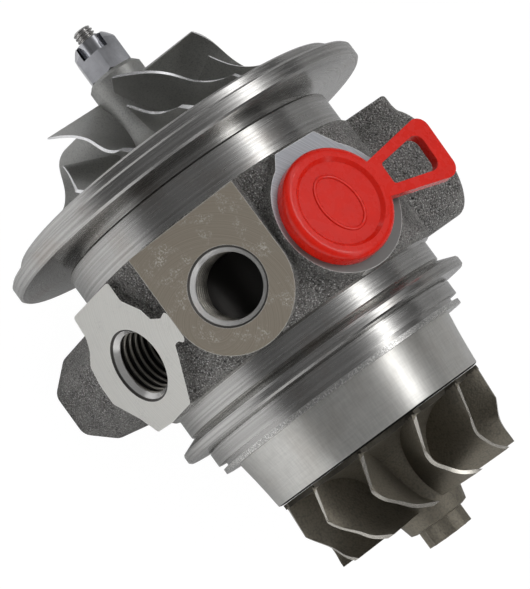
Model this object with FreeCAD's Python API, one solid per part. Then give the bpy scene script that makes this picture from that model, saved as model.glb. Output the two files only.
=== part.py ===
import FreeCAD, Part
import math
import os

# Water-cooled turbocharger cartridge: a cast bearing housing that carries the rotor, its
# floating bearings, the thrust pieces, the seals and the turbine heat shield.
# Millimetres and degrees. X runs along the shaft towards the turbine wheel and Z is up.
# The origin is on the shaft axis, in the shoulder where the compressor housing seats.
# A tilt is an angle about the shaft, from straight up (0) towards -Y (90) and down (180).

# Compressor backplate, cast in one with the housing
REGISTER_RADIUS = 36.5
REGISTER_LENGTH = 2.3
DISC_RADIUS = 40.0
DISC_THICKNESS = 3.2
DISC_CHAMFER = 0.4
RECESS_DEPTH = 1.0
UNDERCUT_RADIUS = 26.0
UNDERCUT_WIDTH = 1.6
NECK_RADIUS = 30.1
NECK_LENGTH = 8.4

# Cast body and its bosses
BODY_RADIUS = 30.8
BODY_LENGTH = 27.4
BODY_EDGE = 0.9
PORT_WIDTH = 23.6
PORT_A_TILT = 42.5
PORT_A_FACE = 32.5
PORT_B_TILT = 83.0
PORT_B_OFFSET = -4.5
PORT_THREAD_RADIUS = 7.0
PORT_THREAD_DEPTH = 12.0
PORT_CHAMFER = 0.4
INLET_PAD_HEIGHT = 2.2
INLET_PAD_RADIUS = 12.9
INLET_THREAD_RADIUS = 6.0
INLET_THREAD_DEPTH = 12.5
INLET_DRILL_RADIUS = 5.2
INLET_DEPTH = 14.0
INLET_LEAD_RADIUS = 6.4
INLET_LEAD_DEPTH = 5.0
INLET_CHAMFER = 0.6
OIL_DRILL_RADIUS = 1.5
DRAIN_FACE = 43.5
DRAIN_WIDTH = 22.2
DRAIN_LENGTH = 58.8
DRAIN_CORNER = 3.0
DRAIN_BOLT_SPACING = 38.0
DRAIN_BOLT_RADIUS = 4.0
DRAIN_BOLT_DEPTH = 14.0
DRAIN_BORE_RADIUS = 6.5
DRAIN_BORE_DEPTH = 14.0
DRAIN_CAVITY_RADIUS = 8.0
DRAIN_THROAT_RADIUS = 6.0
BLANK_TILT = -73.0
BLANK_FACE = 40.9
BLANK_RADIUS = 12.3
BLANK_TONGUE = 8.0
BLANK_EDGE = 1.2
BLANK_BLEND = 3.0
JACKET_INNER = 14.0
JACKET_OUTER = 22.0
JACKET_START_TILT = 30.0
JACKET_END_TILT = 138.0

# Turbine end of the housing
COLLAR_RADIUS = 29.0
COLLAR_LENGTH = 4.6
CLAMP_ROOT = 28.6
CLAMP_RADIUS = 32.3
CLAMP_TAPER_WIDTH = 1.4
CLAMP_RIM_WIDTH = 2.1
CLAMP_BACK_WIDTH = 0.4
RELIEF_RADIUS = 27.2
RELIEF_WIDTH = 0.4
PILOT_RADIUS = 28.0
PILOT_WIDTH = 2.7
SHIELD_GROOVE_RADIUS = 26.4
SHIELD_GROOVE_WIDTH = 1.0
NOSE_RADIUS = 21.6
NOSE_LENGTH = 8.8

# Heat shield, pressed from sheet
SHIELD_SHEET = 0.8
SHIELD_RIM_RADIUS = 27.6
SHIELD_RIM_WIDTH = 1.0
SHIELD_MOUTH_RADIUS = 24.6
SHIELD_END_RADIUS = 23.3
SHIELD_DEPTH = 11.55
SHIELD_CORNER = 1.6
SHIELD_HOLE_RADIUS = 8.4

# Shaft and bearings
STUB_RADIUS = 2.0
STUB_TIP_RADIUS = 1.75
STUB_LENGTH = 10.6
WHEEL_SEAT_RADIUS = 2.5
JOURNAL_RADIUS = 3.2
WAIST_RADIUS = 2.8
SEAL_BOSS_RADIUS = 7.0
SEAL_BOSS_LENGTH = 8.4
BEARING_RADIUS = 5.7
BEARING_LENGTH = 8.0
BEARING_CHAMFER = 0.4
BEARING_HOLE_RADIUS = 0.8
BEARING_HOLES = 6
BEARING_1_START = 15.2
BEARING_2_START = 40.7
SHAFT_CLEARANCE = 0.04
FLOAT_CLEARANCE = 0.05
CLIP_WIDTH = 0.8
CLIP_GAP = 0.2
CLIP_INNER = 5.2
CLIP_OUTER = 6.4
CLIP_OPENING = 50.0
GALLERY_RADIUS = 10.5
GALLERY_WALL = 1.5

# Thrust bearing and compressor-side seal
SLEEVE_RADIUS = 5.3
SLEEVE_FLANGE_RADIUS = 7.6
SLEEVE_FLANGE_WIDTH = 1.2
PLATE_RADIUS = 18.0
PLATE_THICKNESS = 6.3
PLATE_CLIP_WIDTH = 1.0
PLATE_CLIP_DEPTH = 1.0
DEFLECTOR_THICKNESS = 1.6
DEFLECTOR_SHEET = 0.8
DEFLECTOR_RADIUS = 15.3
THRUST_THICKNESS = 3.0
THRUST_RADIUS = 15.4
THRUST_BORE = 4.9
THRUST_CLEARANCE = 0.2
THRUST_PIN_RADIUS = 1.25
THRUST_PIN_PLACE = 11.5
THRUST_PIN_DEPTH = 3.0
THRUST_FLAT = 9.0
COLLAR_HUB_RADIUS = 4.6
THRUST_COLLAR_RADIUS = 7.8
THRUST_COLLAR_WIDTH = 1.6
RING_WIDTH = 1.2
RING_SIDE_GAP = 0.1
RING_DEPTH = 1.6
RING_OPENING = 0.4
PASSING_CLEARANCE = 0.3
FIT_CLEARANCE = 0.02

# Compressor wheel
COMPRESSOR_NOSE_RADIUS = 5.85
COMPRESSOR_NOSE_FACE = 5.1
COMPRESSOR_NOSE_LENGTH = 3.8
COMPRESSOR_EYE_START = 4.5
COMPRESSOR_EYE_RADIUS = 19.6
COMPRESSOR_TIP_RADIUS = 25.6
COMPRESSOR_LENGTH = 20.7
COMPRESSOR_TIP_WIDTH = 3.0
COMPRESSOR_RIM = 0.5
COMPRESSOR_GAP = 0.8
COMPRESSOR_BLADES = 6
COMPRESSOR_PHASE = 56.5
COMPRESSOR_BLADE_ROOT = 1.1
COMPRESSOR_BLADE_TIP = 0.5
SPLITTER_START = 0.385

# Turbine wheel
TURBINE_RADIUS = 22.9
TURBINE_INLET_WIDTH = 7.2
TURBINE_EXIT_RADIUS = 20.1
TURBINE_EXIT_HUB = 7.1
TURBINE_LENGTH = 16.0
TURBINE_RIM = 1.0
TURBINE_GAP = 0.6
TURBINE_BLADES = 12
TURBINE_PHASE = 18.8
TURBINE_BLADE_ROOT = 1.5
TURBINE_BLADE_TIP = 0.7
SCALLOP_RADIUS = 6.2
SCALLOP_PLACE = 25.5
TURBINE_NOSE_LENGTH = 3.4
TURBINE_HEX = 8.6
TURBINE_HEX_LENGTH = 3.5

# Lock nut and oil inlet cap
NUT_ACROSS_FLATS = 9.0
NUT_LENGTH = 7.9
NUT_CORNER_TILT = 28.0
NUT_TOP_RADIUS = 3.7
NUT_RELIEF_LENGTH = 3.3
NUT_RELIEF_RADIUS = 3.0
NUT_RELIEF_WIDTH = 5.6
CAP_RADIUS = 10.9
CAP_THICKNESS = 3.5
CAP_RIM_WIDTH = 2.2
CAP_RECESS = 0.7
CAP_PLUG_CLEARANCE = 0.1
CAP_PLUG_LENGTH = 3.4
CAP_PLUG_WALL = 1.3
CAP_LOOP_THICKNESS = 2.2
CAP_LOOP_TILT = -2.0

# Stations along the shaft
disc_front = -REGISTER_LENGTH
disc_back = DISC_THICKNESS
recess_floor = disc_front + RECESS_DEPTH
body_start = disc_back + NECK_LENGTH
body_end = body_start + BODY_LENGTH
body_middle = body_start + 0.54 * BODY_LENGTH
clamp_start = body_end + COLLAR_LENGTH
clamp_rim_start = clamp_start + CLAMP_TAPER_WIDTH
clamp_rim_end = clamp_rim_start + CLAMP_RIM_WIDTH
clamp_end = clamp_rim_end + CLAMP_BACK_WIDTH
pilot_start = clamp_end + RELIEF_WIDTH
pilot_end = pilot_start + PILOT_WIDTH
shield_seat = pilot_end + SHIELD_GROOVE_WIDTH
nose_end = shield_seat + NOSE_LENGTH
shield_end = shield_seat + SHIELD_DEPTH
wheel_back = recess_floor - COMPRESSOR_GAP
plate_clip_start = recess_floor + 0.2
plate_start = plate_clip_start + PLATE_CLIP_WIDTH
plate_end = plate_start + PLATE_THICKNESS
thrust_start = plate_end + DEFLECTOR_THICKNESS
thrust_end = thrust_start + THRUST_THICKNESS
sleeve_start = wheel_back + 0.7
sleeve_end = thrust_start - THRUST_CLEARANCE
collar_face = thrust_end + THRUST_CLEARANCE
shaft_shoulder = collar_face + THRUST_COLLAR_WIDTH
bearing_1_end = BEARING_1_START + BEARING_LENGTH
bearing_2_end = BEARING_2_START + BEARING_LENGTH
clip_reach = CLIP_GAP + CLIP_WIDTH
turbine_back = shield_end + TURBINE_GAP
weld_face = nose_end + 1.2
seal_boss_start = weld_face - SEAL_BOSS_LENGTH
wheel_nose = wheel_back - COMPRESSOR_LENGTH
stub_tip = wheel_nose - STUB_LENGTH
housing_bearing_radius = BEARING_RADIUS + FLOAT_CLEARANCE
seal_bore_radius = SEAL_BOSS_RADIUS + PASSING_CLEARANCE
plate_bore_radius = SLEEVE_RADIUS + PASSING_CLEARANCE
inlet_face = BODY_RADIUS + INLET_PAD_HEIGHT
cap_plug_radius = INLET_LEAD_RADIUS - CAP_PLUG_CLEARANCE

V = FreeCAD.Vector
ORIGIN = V(0, 0, 0)
AXIS = V(1, 0, 0)
UP = V(0, 0, 1)


def polygon_edges(points):
    """Straight edges through points given as (x, radius), closed."""
    corners = [V(x, 0, r) for x, r in points]
    return Part.makePolygon(corners + corners[:1]).Edges


def turned(points):
    """A solid of revolution about the shaft from a closed (x, radius) outline."""
    return Part.Face(Part.Wire(polygon_edges(points))).revolve(ORIGIN, AXIS, 360)


def ring(start, end, outer, inner):
    """A plain ring about the shaft."""
    return turned([(start, inner), (end, inner), (end, outer), (start, outer)])


def drum(start, end, radius):
    """A plain cylinder on the shaft axis."""
    return Part.makeCylinder(radius, end - start, V(start, 0, 0), AXIS)


def tilted(shape, tilt):
    """A shape drawn on top of the housing, turned about the shaft to its tilt."""
    shape.rotate(ORIGIN, AXIS, tilt)
    return shape


def post(x, y, radius, low, high):
    """An upright cylinder."""
    return Part.makeCylinder(radius, high - low, V(x, y, low), UP)


def cone_mouth(x, y, radius, face, chamfer):
    """The chamfer cut at the mouth of an upright hole."""
    return Part.makeCone(radius, radius + chamfer, chamfer, V(x, y, face - chamfer), UP)


def slab(points, low, high):
    """An upright prism on a closed outline of (x, y) corners."""
    corners = [V(x, y, low) for x, y in points]
    outline = Part.makePolygon(corners + corners[:1])
    return Part.Face(outline).extrude(V(0, 0, high - low))


def upright_edges(shape):
    """The straight edges that run along Z."""
    found = []
    for edge in shape.Edges:
        if len(edge.Vertexes) == 2:
            run = edge.Vertexes[1].Point - edge.Vertexes[0].Point
            if abs(run.x) + abs(run.y) < 1e-6:
                found.append(edge)
    return found


def edges_at(shape, height):
    """The edges that lie at one height."""
    found = []
    for edge in shape.Edges:
        box = edge.BoundBox
        if abs(box.ZMin - height) < 1e-6 and abs(box.ZMax - height) < 1e-6:
            found.append(edge)
    return found


def u_boss(start, end, width, low, high):
    """A boss with square corners at its start and a half-round end."""
    half = width / 2
    block = Part.makeBox(end - half - start, width, high - low, V(start, -half, low))
    return block.fuse(post(end - half, 0, half, low, high)).removeSplitter()


def housing_outside():
    """The turned outline of the housing from the backplate to the turbine nose."""
    lip = 0.4
    return turned([
        (disc_front, 0),
        (disc_front, REGISTER_RADIUS - DISC_CHAMFER),
        (disc_front + DISC_CHAMFER, REGISTER_RADIUS),
        (0, REGISTER_RADIUS),
        (0, DISC_RADIUS - DISC_CHAMFER),
        (DISC_CHAMFER, DISC_RADIUS),
        (disc_back - DISC_CHAMFER, DISC_RADIUS),
        (disc_back, DISC_RADIUS - DISC_CHAMFER),
        (disc_back, UNDERCUT_RADIUS),
        (disc_back + UNDERCUT_WIDTH, UNDERCUT_RADIUS),
        (disc_back + UNDERCUT_WIDTH, NECK_RADIUS - lip),
        (disc_back + UNDERCUT_WIDTH + lip, NECK_RADIUS),
        (body_start, NECK_RADIUS),
        (body_start, BODY_RADIUS - lip),
        (body_start + lip, BODY_RADIUS),
        (body_end - BODY_EDGE, BODY_RADIUS),
        (body_end, BODY_RADIUS - BODY_EDGE),
        (body_end, COLLAR_RADIUS + lip),
        (body_end + lip, COLLAR_RADIUS),
        (clamp_start - lip, COLLAR_RADIUS),
        (clamp_start, CLAMP_ROOT),
        (clamp_rim_start, CLAMP_RADIUS - lip / 2),
        (clamp_rim_start + lip, CLAMP_RADIUS),
        (clamp_rim_end - lip, CLAMP_RADIUS),
        (clamp_rim_end, CLAMP_RADIUS - lip),
        (clamp_end, PILOT_RADIUS + lip / 2),
        (clamp_end, RELIEF_RADIUS),
        (pilot_start, RELIEF_RADIUS),
        (pilot_start, PILOT_RADIUS),
        (pilot_end, PILOT_RADIUS),
        (pilot_end, SHIELD_GROOVE_RADIUS),
        (shield_seat, SHIELD_GROOVE_RADIUS),
        (shield_seat, NOSE_RADIUS),
        (nose_end - BODY_EDGE, NOSE_RADIUS),
        (nose_end, NOSE_RADIUS - BODY_EDGE),
        (nose_end, 0),
    ])


def port_b_outline(start):
    """The milled outline of the second coolant port, with the bridge to the first."""
    edge = PORT_WIDTH / 2 + 0.3
    return [
        (start, 3.0), (start, -12.5), (start + 4.6, -13.1), (start + 7.0, -14.8),
        (start + 9.0, -17.5), (start + 13.0, -18.6), (start + 17.2, -18.6),
        (start + 22.7, -14.2), (start + 26.8, -11.9), (start + 27.2, -6.5),
        (start + 26.7, 1.8), (start + 22.2, 5.0), (start + 18.8, 7.4),
        (start + 16.9, 8.6), (start + 16.9, 10.1), (start + 18.8, edge),
        (start + 11.0, edge), (start + 11.7, 9.8), (start + 10.5, 7.1),
        (start + 8.0, 6.3), (start + 4.2, 2.9),
    ]


def port_b_face():
    """Height of the second port's face: it meets the first face along one straight edge."""
    between = math.radians(PORT_B_TILT - PORT_A_TILT)
    return PORT_A_FACE * math.cos(between) + PORT_WIDTH / 2 * math.sin(between)


port_a_place = body_start + 15.2
port_b_place = body_start + 15.8
inlet_place = body_start + 14.8
drain_place = body_start + 11.9
blank_place = body_start + 14.4


def port_bosses():
    """The two milled coolant port bosses."""
    root = 16.0
    boss_a = u_boss(body_start + 0.6, body_end + 0.3, PORT_WIDTH, root, PORT_A_FACE)
    boss_b = slab(port_b_outline(body_start + 0.6), root, port_b_face())
    boss_b = boss_b.makeFillet(0.9, upright_edges(boss_b))
    return [tilted(boss_a, PORT_A_TILT), tilted(boss_b, PORT_B_TILT)]


def inlet_pad():
    """The milled pad round the oil inlet, drawn out to the edge of the body."""
    root = 20.0
    pad = post(inlet_place, 1.0, INLET_PAD_RADIUS, root, inlet_face)
    tongue = slab([
        (inlet_place - 4, -INLET_PAD_RADIUS + 2.2), (body_start + 0.9, -3.2),
        (body_start + 0.9, 6.6), (inlet_place - 4, INLET_PAD_RADIUS + 0.6),
    ], root, inlet_face)
    return pad.fuse(tongue).removeSplitter()


def drain_boss():
    """The long two-bolt boss of the oil drain, an eight-sided block with round corners."""
    half = DRAIN_WIDTH / 2
    end = DRAIN_LENGTH / 2
    outline = []
    for side in (1, -1):
        corners = [(-half, -14.0), (1.0 - half, -23.2), (6.5 - half, -end),
                   (half - 6.1, -end), (half - 1.4, -23.4), (half, -14.0)]
        outline += [(drain_place + x, side * y) for x, y in corners[::side]]
    block = slab(outline, 8.0, DRAIN_FACE)
    ends = [edge for edge in upright_edges(block) if abs(edge.BoundBox.YMin) > 20]
    block = block.makeFillet(DRAIN_CORNER, ends)
    block = block.makeChamfer(0.5, edges_at(block, DRAIN_FACE))
    return tilted(block, 180)


def blank_boss():
    """The unmachined boss on the far side: a round pad with a tongue, left as cast."""
    low = 14.0
    half = BLANK_TONGUE / 2
    start = body_start - 0.8
    pad = post(blank_place, 0, BLANK_RADIUS, low, BLANK_FACE)
    tongue = Part.makeBox(blank_place - start, BLANK_TONGUE, BLANK_FACE - low,
                          V(start, -half, low))
    boss = pad.fuse(tongue).removeSplitter()
    reach = blank_place - math.sqrt(BLANK_RADIUS ** 2 - half ** 2)
    inner = [edge for edge in upright_edges(boss) if abs(edge.BoundBox.XMin - reach) < 0.01]
    boss = boss.makeFillet(BLANK_BLEND, inner)
    boss = boss.makeFillet(BLANK_EDGE, edges_at(boss, BLANK_FACE))
    return tilted(boss, BLANK_TILT)


def water_jacket():
    """The cored coolant space, a part ring between the oil inlet and the drain."""
    start = body_start + 8.6
    end = body_end + 2.0
    corners = [V(start, 0, JACKET_INNER), V(end, 0, JACKET_INNER),
               V(end, 0, JACKET_OUTER), V(start, 0, JACKET_OUTER)]
    face = Part.Face(Part.makePolygon(corners + corners[:1]))
    core = face.revolve(ORIGIN, AXIS, JACKET_END_TILT - JACKET_START_TILT)
    return tilted(core, JACKET_START_TILT)


def shaft_tunnel():
    """Everything bored along the shaft axis, from the compressor end to the seal bore."""
    recess = COMPRESSOR_TIP_RADIUS + 1.0
    clip_groove = PLATE_RADIUS + PLATE_CLIP_DEPTH
    step = THRUST_RADIUS + 0.1
    return turned([
        (disc_front - 1, 0), (disc_front - 1, recess), (recess_floor, recess),
        (recess_floor, PLATE_RADIUS), (plate_clip_start, PLATE_RADIUS),
        (plate_clip_start, clip_groove), (plate_start, clip_groove),
        (plate_start, PLATE_RADIUS), (plate_end, PLATE_RADIUS),
        (plate_end, step), (thrust_end, step),
        (thrust_end, THRUST_COLLAR_RADIUS + 0.8),
        (shaft_shoulder + 0.6, THRUST_COLLAR_RADIUS + 0.8),
        (shaft_shoulder + 0.6, housing_bearing_radius),
        (BEARING_1_START - clip_reach, housing_bearing_radius),
        (BEARING_1_START - clip_reach, CLIP_OUTER),
        (BEARING_1_START - CLIP_GAP, CLIP_OUTER),
        (BEARING_1_START - CLIP_GAP, housing_bearing_radius),
        (bearing_1_end + CLIP_GAP, housing_bearing_radius),
        (bearing_1_end + CLIP_GAP, CLIP_OUTER),
        (bearing_1_end + clip_reach, CLIP_OUTER),
        (bearing_1_end + clip_reach, housing_bearing_radius),
        (bearing_1_end + clip_reach + GALLERY_WALL, housing_bearing_radius),
        (bearing_1_end + clip_reach + GALLERY_WALL, GALLERY_RADIUS),
        (BEARING_2_START - clip_reach - GALLERY_WALL, GALLERY_RADIUS),
        (BEARING_2_START - clip_reach - GALLERY_WALL, housing_bearing_radius),
        (BEARING_2_START - clip_reach, housing_bearing_radius),
        (BEARING_2_START - clip_reach, CLIP_OUTER),
        (BEARING_2_START - CLIP_GAP, CLIP_OUTER),
        (BEARING_2_START - CLIP_GAP, housing_bearing_radius),
        (bearing_2_end + CLIP_GAP, housing_bearing_radius),
        (bearing_2_end + CLIP_GAP, CLIP_OUTER),
        (bearing_2_end + clip_reach, CLIP_OUTER),
        (bearing_2_end + clip_reach, housing_bearing_radius),
        (bearing_2_end + clip_reach + GALLERY_WALL / 2, housing_bearing_radius),
        (bearing_2_end + clip_reach + GALLERY_WALL / 2, SEAL_BOSS_RADIUS + 2),
        (seal_boss_start - 0.5, SEAL_BOSS_RADIUS + 2),
        (seal_boss_start - 0.5, seal_bore_radius),
        (nose_end + 1, seal_bore_radius), (nose_end + 1, 0),
    ])


def oil_ways():
    """The oil inlet, the two drillings to the bearings, the sump and the drain."""
    floor = inlet_face - INLET_DEPTH
    lead = inlet_face - INLET_LEAD_DEPTH
    ways = [
        post(inlet_place, 0, INLET_DRILL_RADIUS, floor, inlet_face + 1),
        post(inlet_place, 0, INLET_THREAD_RADIUS, inlet_face - INLET_THREAD_DEPTH,
             inlet_face + 1),
        post(inlet_place, 0, INLET_LEAD_RADIUS, lead, inlet_face + 1),
        cone_mouth(inlet_place, 0, INLET_LEAD_RADIUS, inlet_face, INLET_CHAMFER),
    ]
    for bearing_start in (BEARING_1_START, BEARING_2_START):
        target = V(bearing_start + BEARING_LENGTH / 2, 0, housing_bearing_radius - 1)
        source = V(inlet_place, 0, floor + 1)
        run = target - source
        ways.append(Part.makeCylinder(OIL_DRILL_RADIUS, run.Length, source, run))
    sump_floor = GALLERY_RADIUS + 6.5
    ways.append(Part.makeBox(drain_place - thrust_end, 2 * DRAIN_BORE_RADIUS - 1,
                             sump_floor - THRUST_FLAT + 1,
                             V(thrust_end, 0.5 - DRAIN_BORE_RADIUS, -sump_floor)))
    cavity_floor = DRAIN_BORE_DEPTH - DRAIN_FACE
    ways.append(post(drain_place, 0, DRAIN_BORE_RADIUS, -DRAIN_FACE - 1, cavity_floor + 1))
    ways.append(post(drain_place, 0, DRAIN_CAVITY_RADIUS, cavity_floor, -JACKET_INNER))
    ways.append(post(drain_place, 0, DRAIN_THROAT_RADIUS, -JACKET_INNER - 1,
                     -GALLERY_RADIUS + 1.5))
    for side in (-1, 1):
        ways.append(post(drain_place, side * DRAIN_BOLT_SPACING / 2, DRAIN_BOLT_RADIUS,
                         -DRAIN_FACE - 1, -DRAIN_FACE + DRAIN_BOLT_DEPTH))
    for side in (-1, 1):
        ways.append(Part.makeCylinder(THRUST_PIN_RADIUS, THRUST_PIN_DEPTH,
                                      V(thrust_end, side * THRUST_PIN_PLACE, 0), AXIS))
    return ways


def port_hole(place, offset, face, tilt):
    """A threaded coolant port with its mouth chamfer, opening into the jacket."""
    hole = post(place, offset, PORT_THREAD_RADIUS, face - PORT_THREAD_DEPTH, face + 1)
    mouth = cone_mouth(place, offset, PORT_THREAD_RADIUS, face, PORT_CHAMFER)
    return tilted(hole.fuse(mouth), tilt)


def bearing_housing():
    """The cast housing with its turned ends, bosses, bores and passages."""
    body = housing_outside()
    body = body.fuse(port_bosses() + [inlet_pad(), drain_boss(), blank_boss()])
    cuts = [shaft_tunnel(), water_jacket()] + oil_ways()
    cuts.append(port_hole(port_a_place, 0, PORT_A_FACE, PORT_A_TILT))
    cuts.append(port_hole(port_b_place, PORT_B_OFFSET, port_b_face(), PORT_B_TILT))
    return body.cut(cuts).removeSplitter()


def split_ring(start, width, outer, inner, opening):
    """A spring ring with a gap of the given width at its top."""
    whole = ring(start, start + width, outer, inner)
    gap = Part.makeBox(width + 2, opening, outer + 1, V(start - 1, -opening / 2, 0))
    return whole.cut(gap)


def bearing_clip(start):
    """A snap ring beside a journal bearing, open over part of its circle."""
    whole = ring(start, start + CLIP_WIDTH, CLIP_OUTER - FIT_CLEARANCE, CLIP_INNER)
    reach = CLIP_OUTER * 2
    half = math.radians(CLIP_OPENING / 2)
    wedge = Part.makePolygon([
        V(start - 1, 0, 0), V(start - 1, -reach * math.sin(half), -reach * math.cos(half)),
        V(start - 1, reach * math.sin(half), -reach * math.cos(half)), V(start - 1, 0, 0)])
    return whole.cut(Part.Face(wedge).extrude(V(CLIP_WIDTH + 2, 0, 0)))


def journal_bearing(start):
    """A floating bush with chamfered ends and radial oil holes."""
    inner = JOURNAL_RADIUS + SHAFT_CLEARANCE
    end = start + BEARING_LENGTH
    bush = turned([
        (start, inner + BEARING_CHAMFER), (start + BEARING_CHAMFER, inner),
        (end - BEARING_CHAMFER, inner), (end, inner + BEARING_CHAMFER),
        (end, BEARING_RADIUS - BEARING_CHAMFER), (end - BEARING_CHAMFER, BEARING_RADIUS),
        (start + BEARING_CHAMFER, BEARING_RADIUS), (start, BEARING_RADIUS - BEARING_CHAMFER),
    ])
    holes = []
    for index in range(BEARING_HOLES):
        hole = post(start + BEARING_LENGTH / 2, 0, BEARING_HOLE_RADIUS, 0, BEARING_RADIUS + 1)
        holes.append(tilted(hole, 30 + index * 360 / BEARING_HOLES))
    return bush.cut(holes)


def ring_groove(start, outer):
    """The groove that a piston ring runs in, cut into a collar of the given radius."""
    return ring(start - RING_SIDE_GAP, start + RING_WIDTH + RING_SIDE_GAP, outer + 1,
                outer + PASSING_CLEARANCE - RING_DEPTH - 0.2)


sleeve_ring_start = plate_start + 2.2
turbine_ring_start = seal_boss_start + 4.2


def rotor_shaft():
    """The stepped shaft, from the threaded stub to the turbine seal boss."""
    waist_start = bearing_1_end + 1.5
    waist_end = BEARING_2_START - 1.5
    blend = JOURNAL_RADIUS - WAIST_RADIUS
    shaft = turned([
        (stub_tip, 0), (stub_tip, STUB_TIP_RADIUS),
        (stub_tip + STUB_RADIUS - STUB_TIP_RADIUS, STUB_RADIUS),
        (wheel_nose - 0.5, STUB_RADIUS), (wheel_nose + 0.3, WHEEL_SEAT_RADIUS),
        (shaft_shoulder, WHEEL_SEAT_RADIUS), (shaft_shoulder, JOURNAL_RADIUS),
        (waist_start, JOURNAL_RADIUS), (waist_start + blend, WAIST_RADIUS),
        (waist_end - blend, WAIST_RADIUS), (waist_end, JOURNAL_RADIUS),
        (seal_boss_start - 1.2, JOURNAL_RADIUS), (seal_boss_start, JOURNAL_RADIUS + 1.2),
        (seal_boss_start, SEAL_BOSS_RADIUS), (weld_face, SEAL_BOSS_RADIUS), (weld_face, 0),
    ])
    return shaft.cut(ring_groove(turbine_ring_start, SEAL_BOSS_RADIUS))


def seal_sleeve():
    """The sleeve behind the compressor wheel, with its ring groove and oil flinger."""
    bore = WHEEL_SEAT_RADIUS + FIT_CLEARANCE
    flange_start = sleeve_end - SLEEVE_FLANGE_WIDTH
    sleeve = turned([
        (sleeve_start, bore), (sleeve_end, bore), (sleeve_end, SLEEVE_FLANGE_RADIUS),
        (flange_start, SLEEVE_FLANGE_RADIUS), (flange_start, SLEEVE_RADIUS),
        (sleeve_start, SLEEVE_RADIUS),
    ])
    return sleeve.cut(ring_groove(sleeve_ring_start, SLEEVE_RADIUS))


def thrust_collar():
    """The collar that turns with the shaft and runs against the thrust bearing."""
    bore = WHEEL_SEAT_RADIUS + FIT_CLEARANCE
    return turned([
        (sleeve_end, bore), (shaft_shoulder, bore), (shaft_shoulder, THRUST_COLLAR_RADIUS),
        (collar_face, THRUST_COLLAR_RADIUS), (collar_face, COLLAR_HUB_RADIUS),
        (sleeve_end, COLLAR_HUB_RADIUS),
    ])


def thrust_bearing():
    """The fixed thrust plate, with oil pockets, pin holes and a flat for the drain."""
    plate = ring(thrust_start, thrust_end, THRUST_RADIUS, THRUST_BORE)
    below = Part.makeBox(THRUST_THICKNESS + 2, 2 * THRUST_RADIUS, THRUST_RADIUS,
                         V(thrust_start - 1, -THRUST_RADIUS, -THRUST_FLAT - THRUST_RADIUS))
    cuts = [below]
    for side in (-1, 1):
        cuts.append(Part.makeCylinder(THRUST_PIN_RADIUS + FIT_CLEARANCE, THRUST_THICKNESS + 2,
                                      V(thrust_start - 1, side * THRUST_PIN_PLACE, 0), AXIS))
    for index in range(3):
        pocket = post(thrust_end, 0, 0.7, THRUST_BORE - 1, THRUST_COLLAR_RADIUS - 0.8)
        cuts.append(tilted(pocket, index * 120))
    return plate.cut(cuts)


def thrust_pins():
    """Two pins that stop the thrust plate from turning."""
    pins = []
    for side in (-1, 1):
        pin = Part.makeCylinder(THRUST_PIN_RADIUS, THRUST_THICKNESS + THRUST_PIN_DEPTH - 0.2,
                                V(thrust_start, side * THRUST_PIN_PLACE, 0), AXIS)
        pins.append(pin)
    return Part.makeCompound(pins)


def oil_deflector():
    """The pressed plate that keeps oil off the seal, with its rim and drain tongue."""
    hole = SLEEVE_FLANGE_RADIUS + 0.6
    plate = turned([
        (plate_end, hole), (plate_end + DEFLECTOR_SHEET, hole),
        (plate_end + DEFLECTOR_SHEET, DEFLECTOR_RADIUS - DEFLECTOR_SHEET),
        (thrust_start, DEFLECTOR_RADIUS - DEFLECTOR_SHEET),
        (thrust_start, DEFLECTOR_RADIUS), (plate_end, DEFLECTOR_RADIUS),
    ])
    tongue = Part.makeBox(thrust_end - plate_end + 3, 9.0, DEFLECTOR_SHEET,
                          V(plate_end, -4.5, -THRUST_FLAT - 3.5))
    return plate.fuse(tongue).removeSplitter()


def seal_plate():
    """The round plate that closes the compressor side, with bore and O-ring groove."""
    outer = PLATE_RADIUS - FIT_CLEARANCE
    lead = 0.5
    groove_start = plate_start + 2.0
    groove_floor = outer - 1.8
    return turned([
        (plate_start, plate_bore_radius + lead), (plate_start + lead, plate_bore_radius),
        (plate_end - SLEEVE_FLANGE_WIDTH - 0.4, plate_bore_radius),
        (plate_end - SLEEVE_FLANGE_WIDTH - 0.4, SLEEVE_FLANGE_RADIUS + 0.6),
        (plate_end, SLEEVE_FLANGE_RADIUS + 0.6),
        (plate_end, outer - lead), (plate_end - lead, outer),
        (groove_start + 2.2, outer), (groove_start + 2.2, groove_floor),
        (groove_start, groove_floor), (groove_start, outer), (plate_start, outer),
    ])


def seal_plate_o_ring():
    """The rubber ring in the groove of the seal plate."""
    section = 0.88
    return Part.makeTorus(PLATE_RADIUS - FIT_CLEARANCE - section, section,
                          V(plate_start + 3.1, 0, 0), AXIS)


def seal_plate_snap_ring():
    """The snap ring in front of the seal plate."""
    outer = PLATE_RADIUS + PLATE_CLIP_DEPTH - FIT_CLEARANCE
    return split_ring(plate_clip_start, PLATE_CLIP_WIDTH, outer, PLATE_RADIUS - 1.6, 7.0)


def piston_ring(start, bore_radius):
    """A split cast ring that grips its bore and runs in the groove of the rotor."""
    outer = bore_radius - FIT_CLEARANCE
    return split_ring(start, RING_WIDTH, outer, bore_radius - RING_DEPTH, RING_OPENING)


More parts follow.
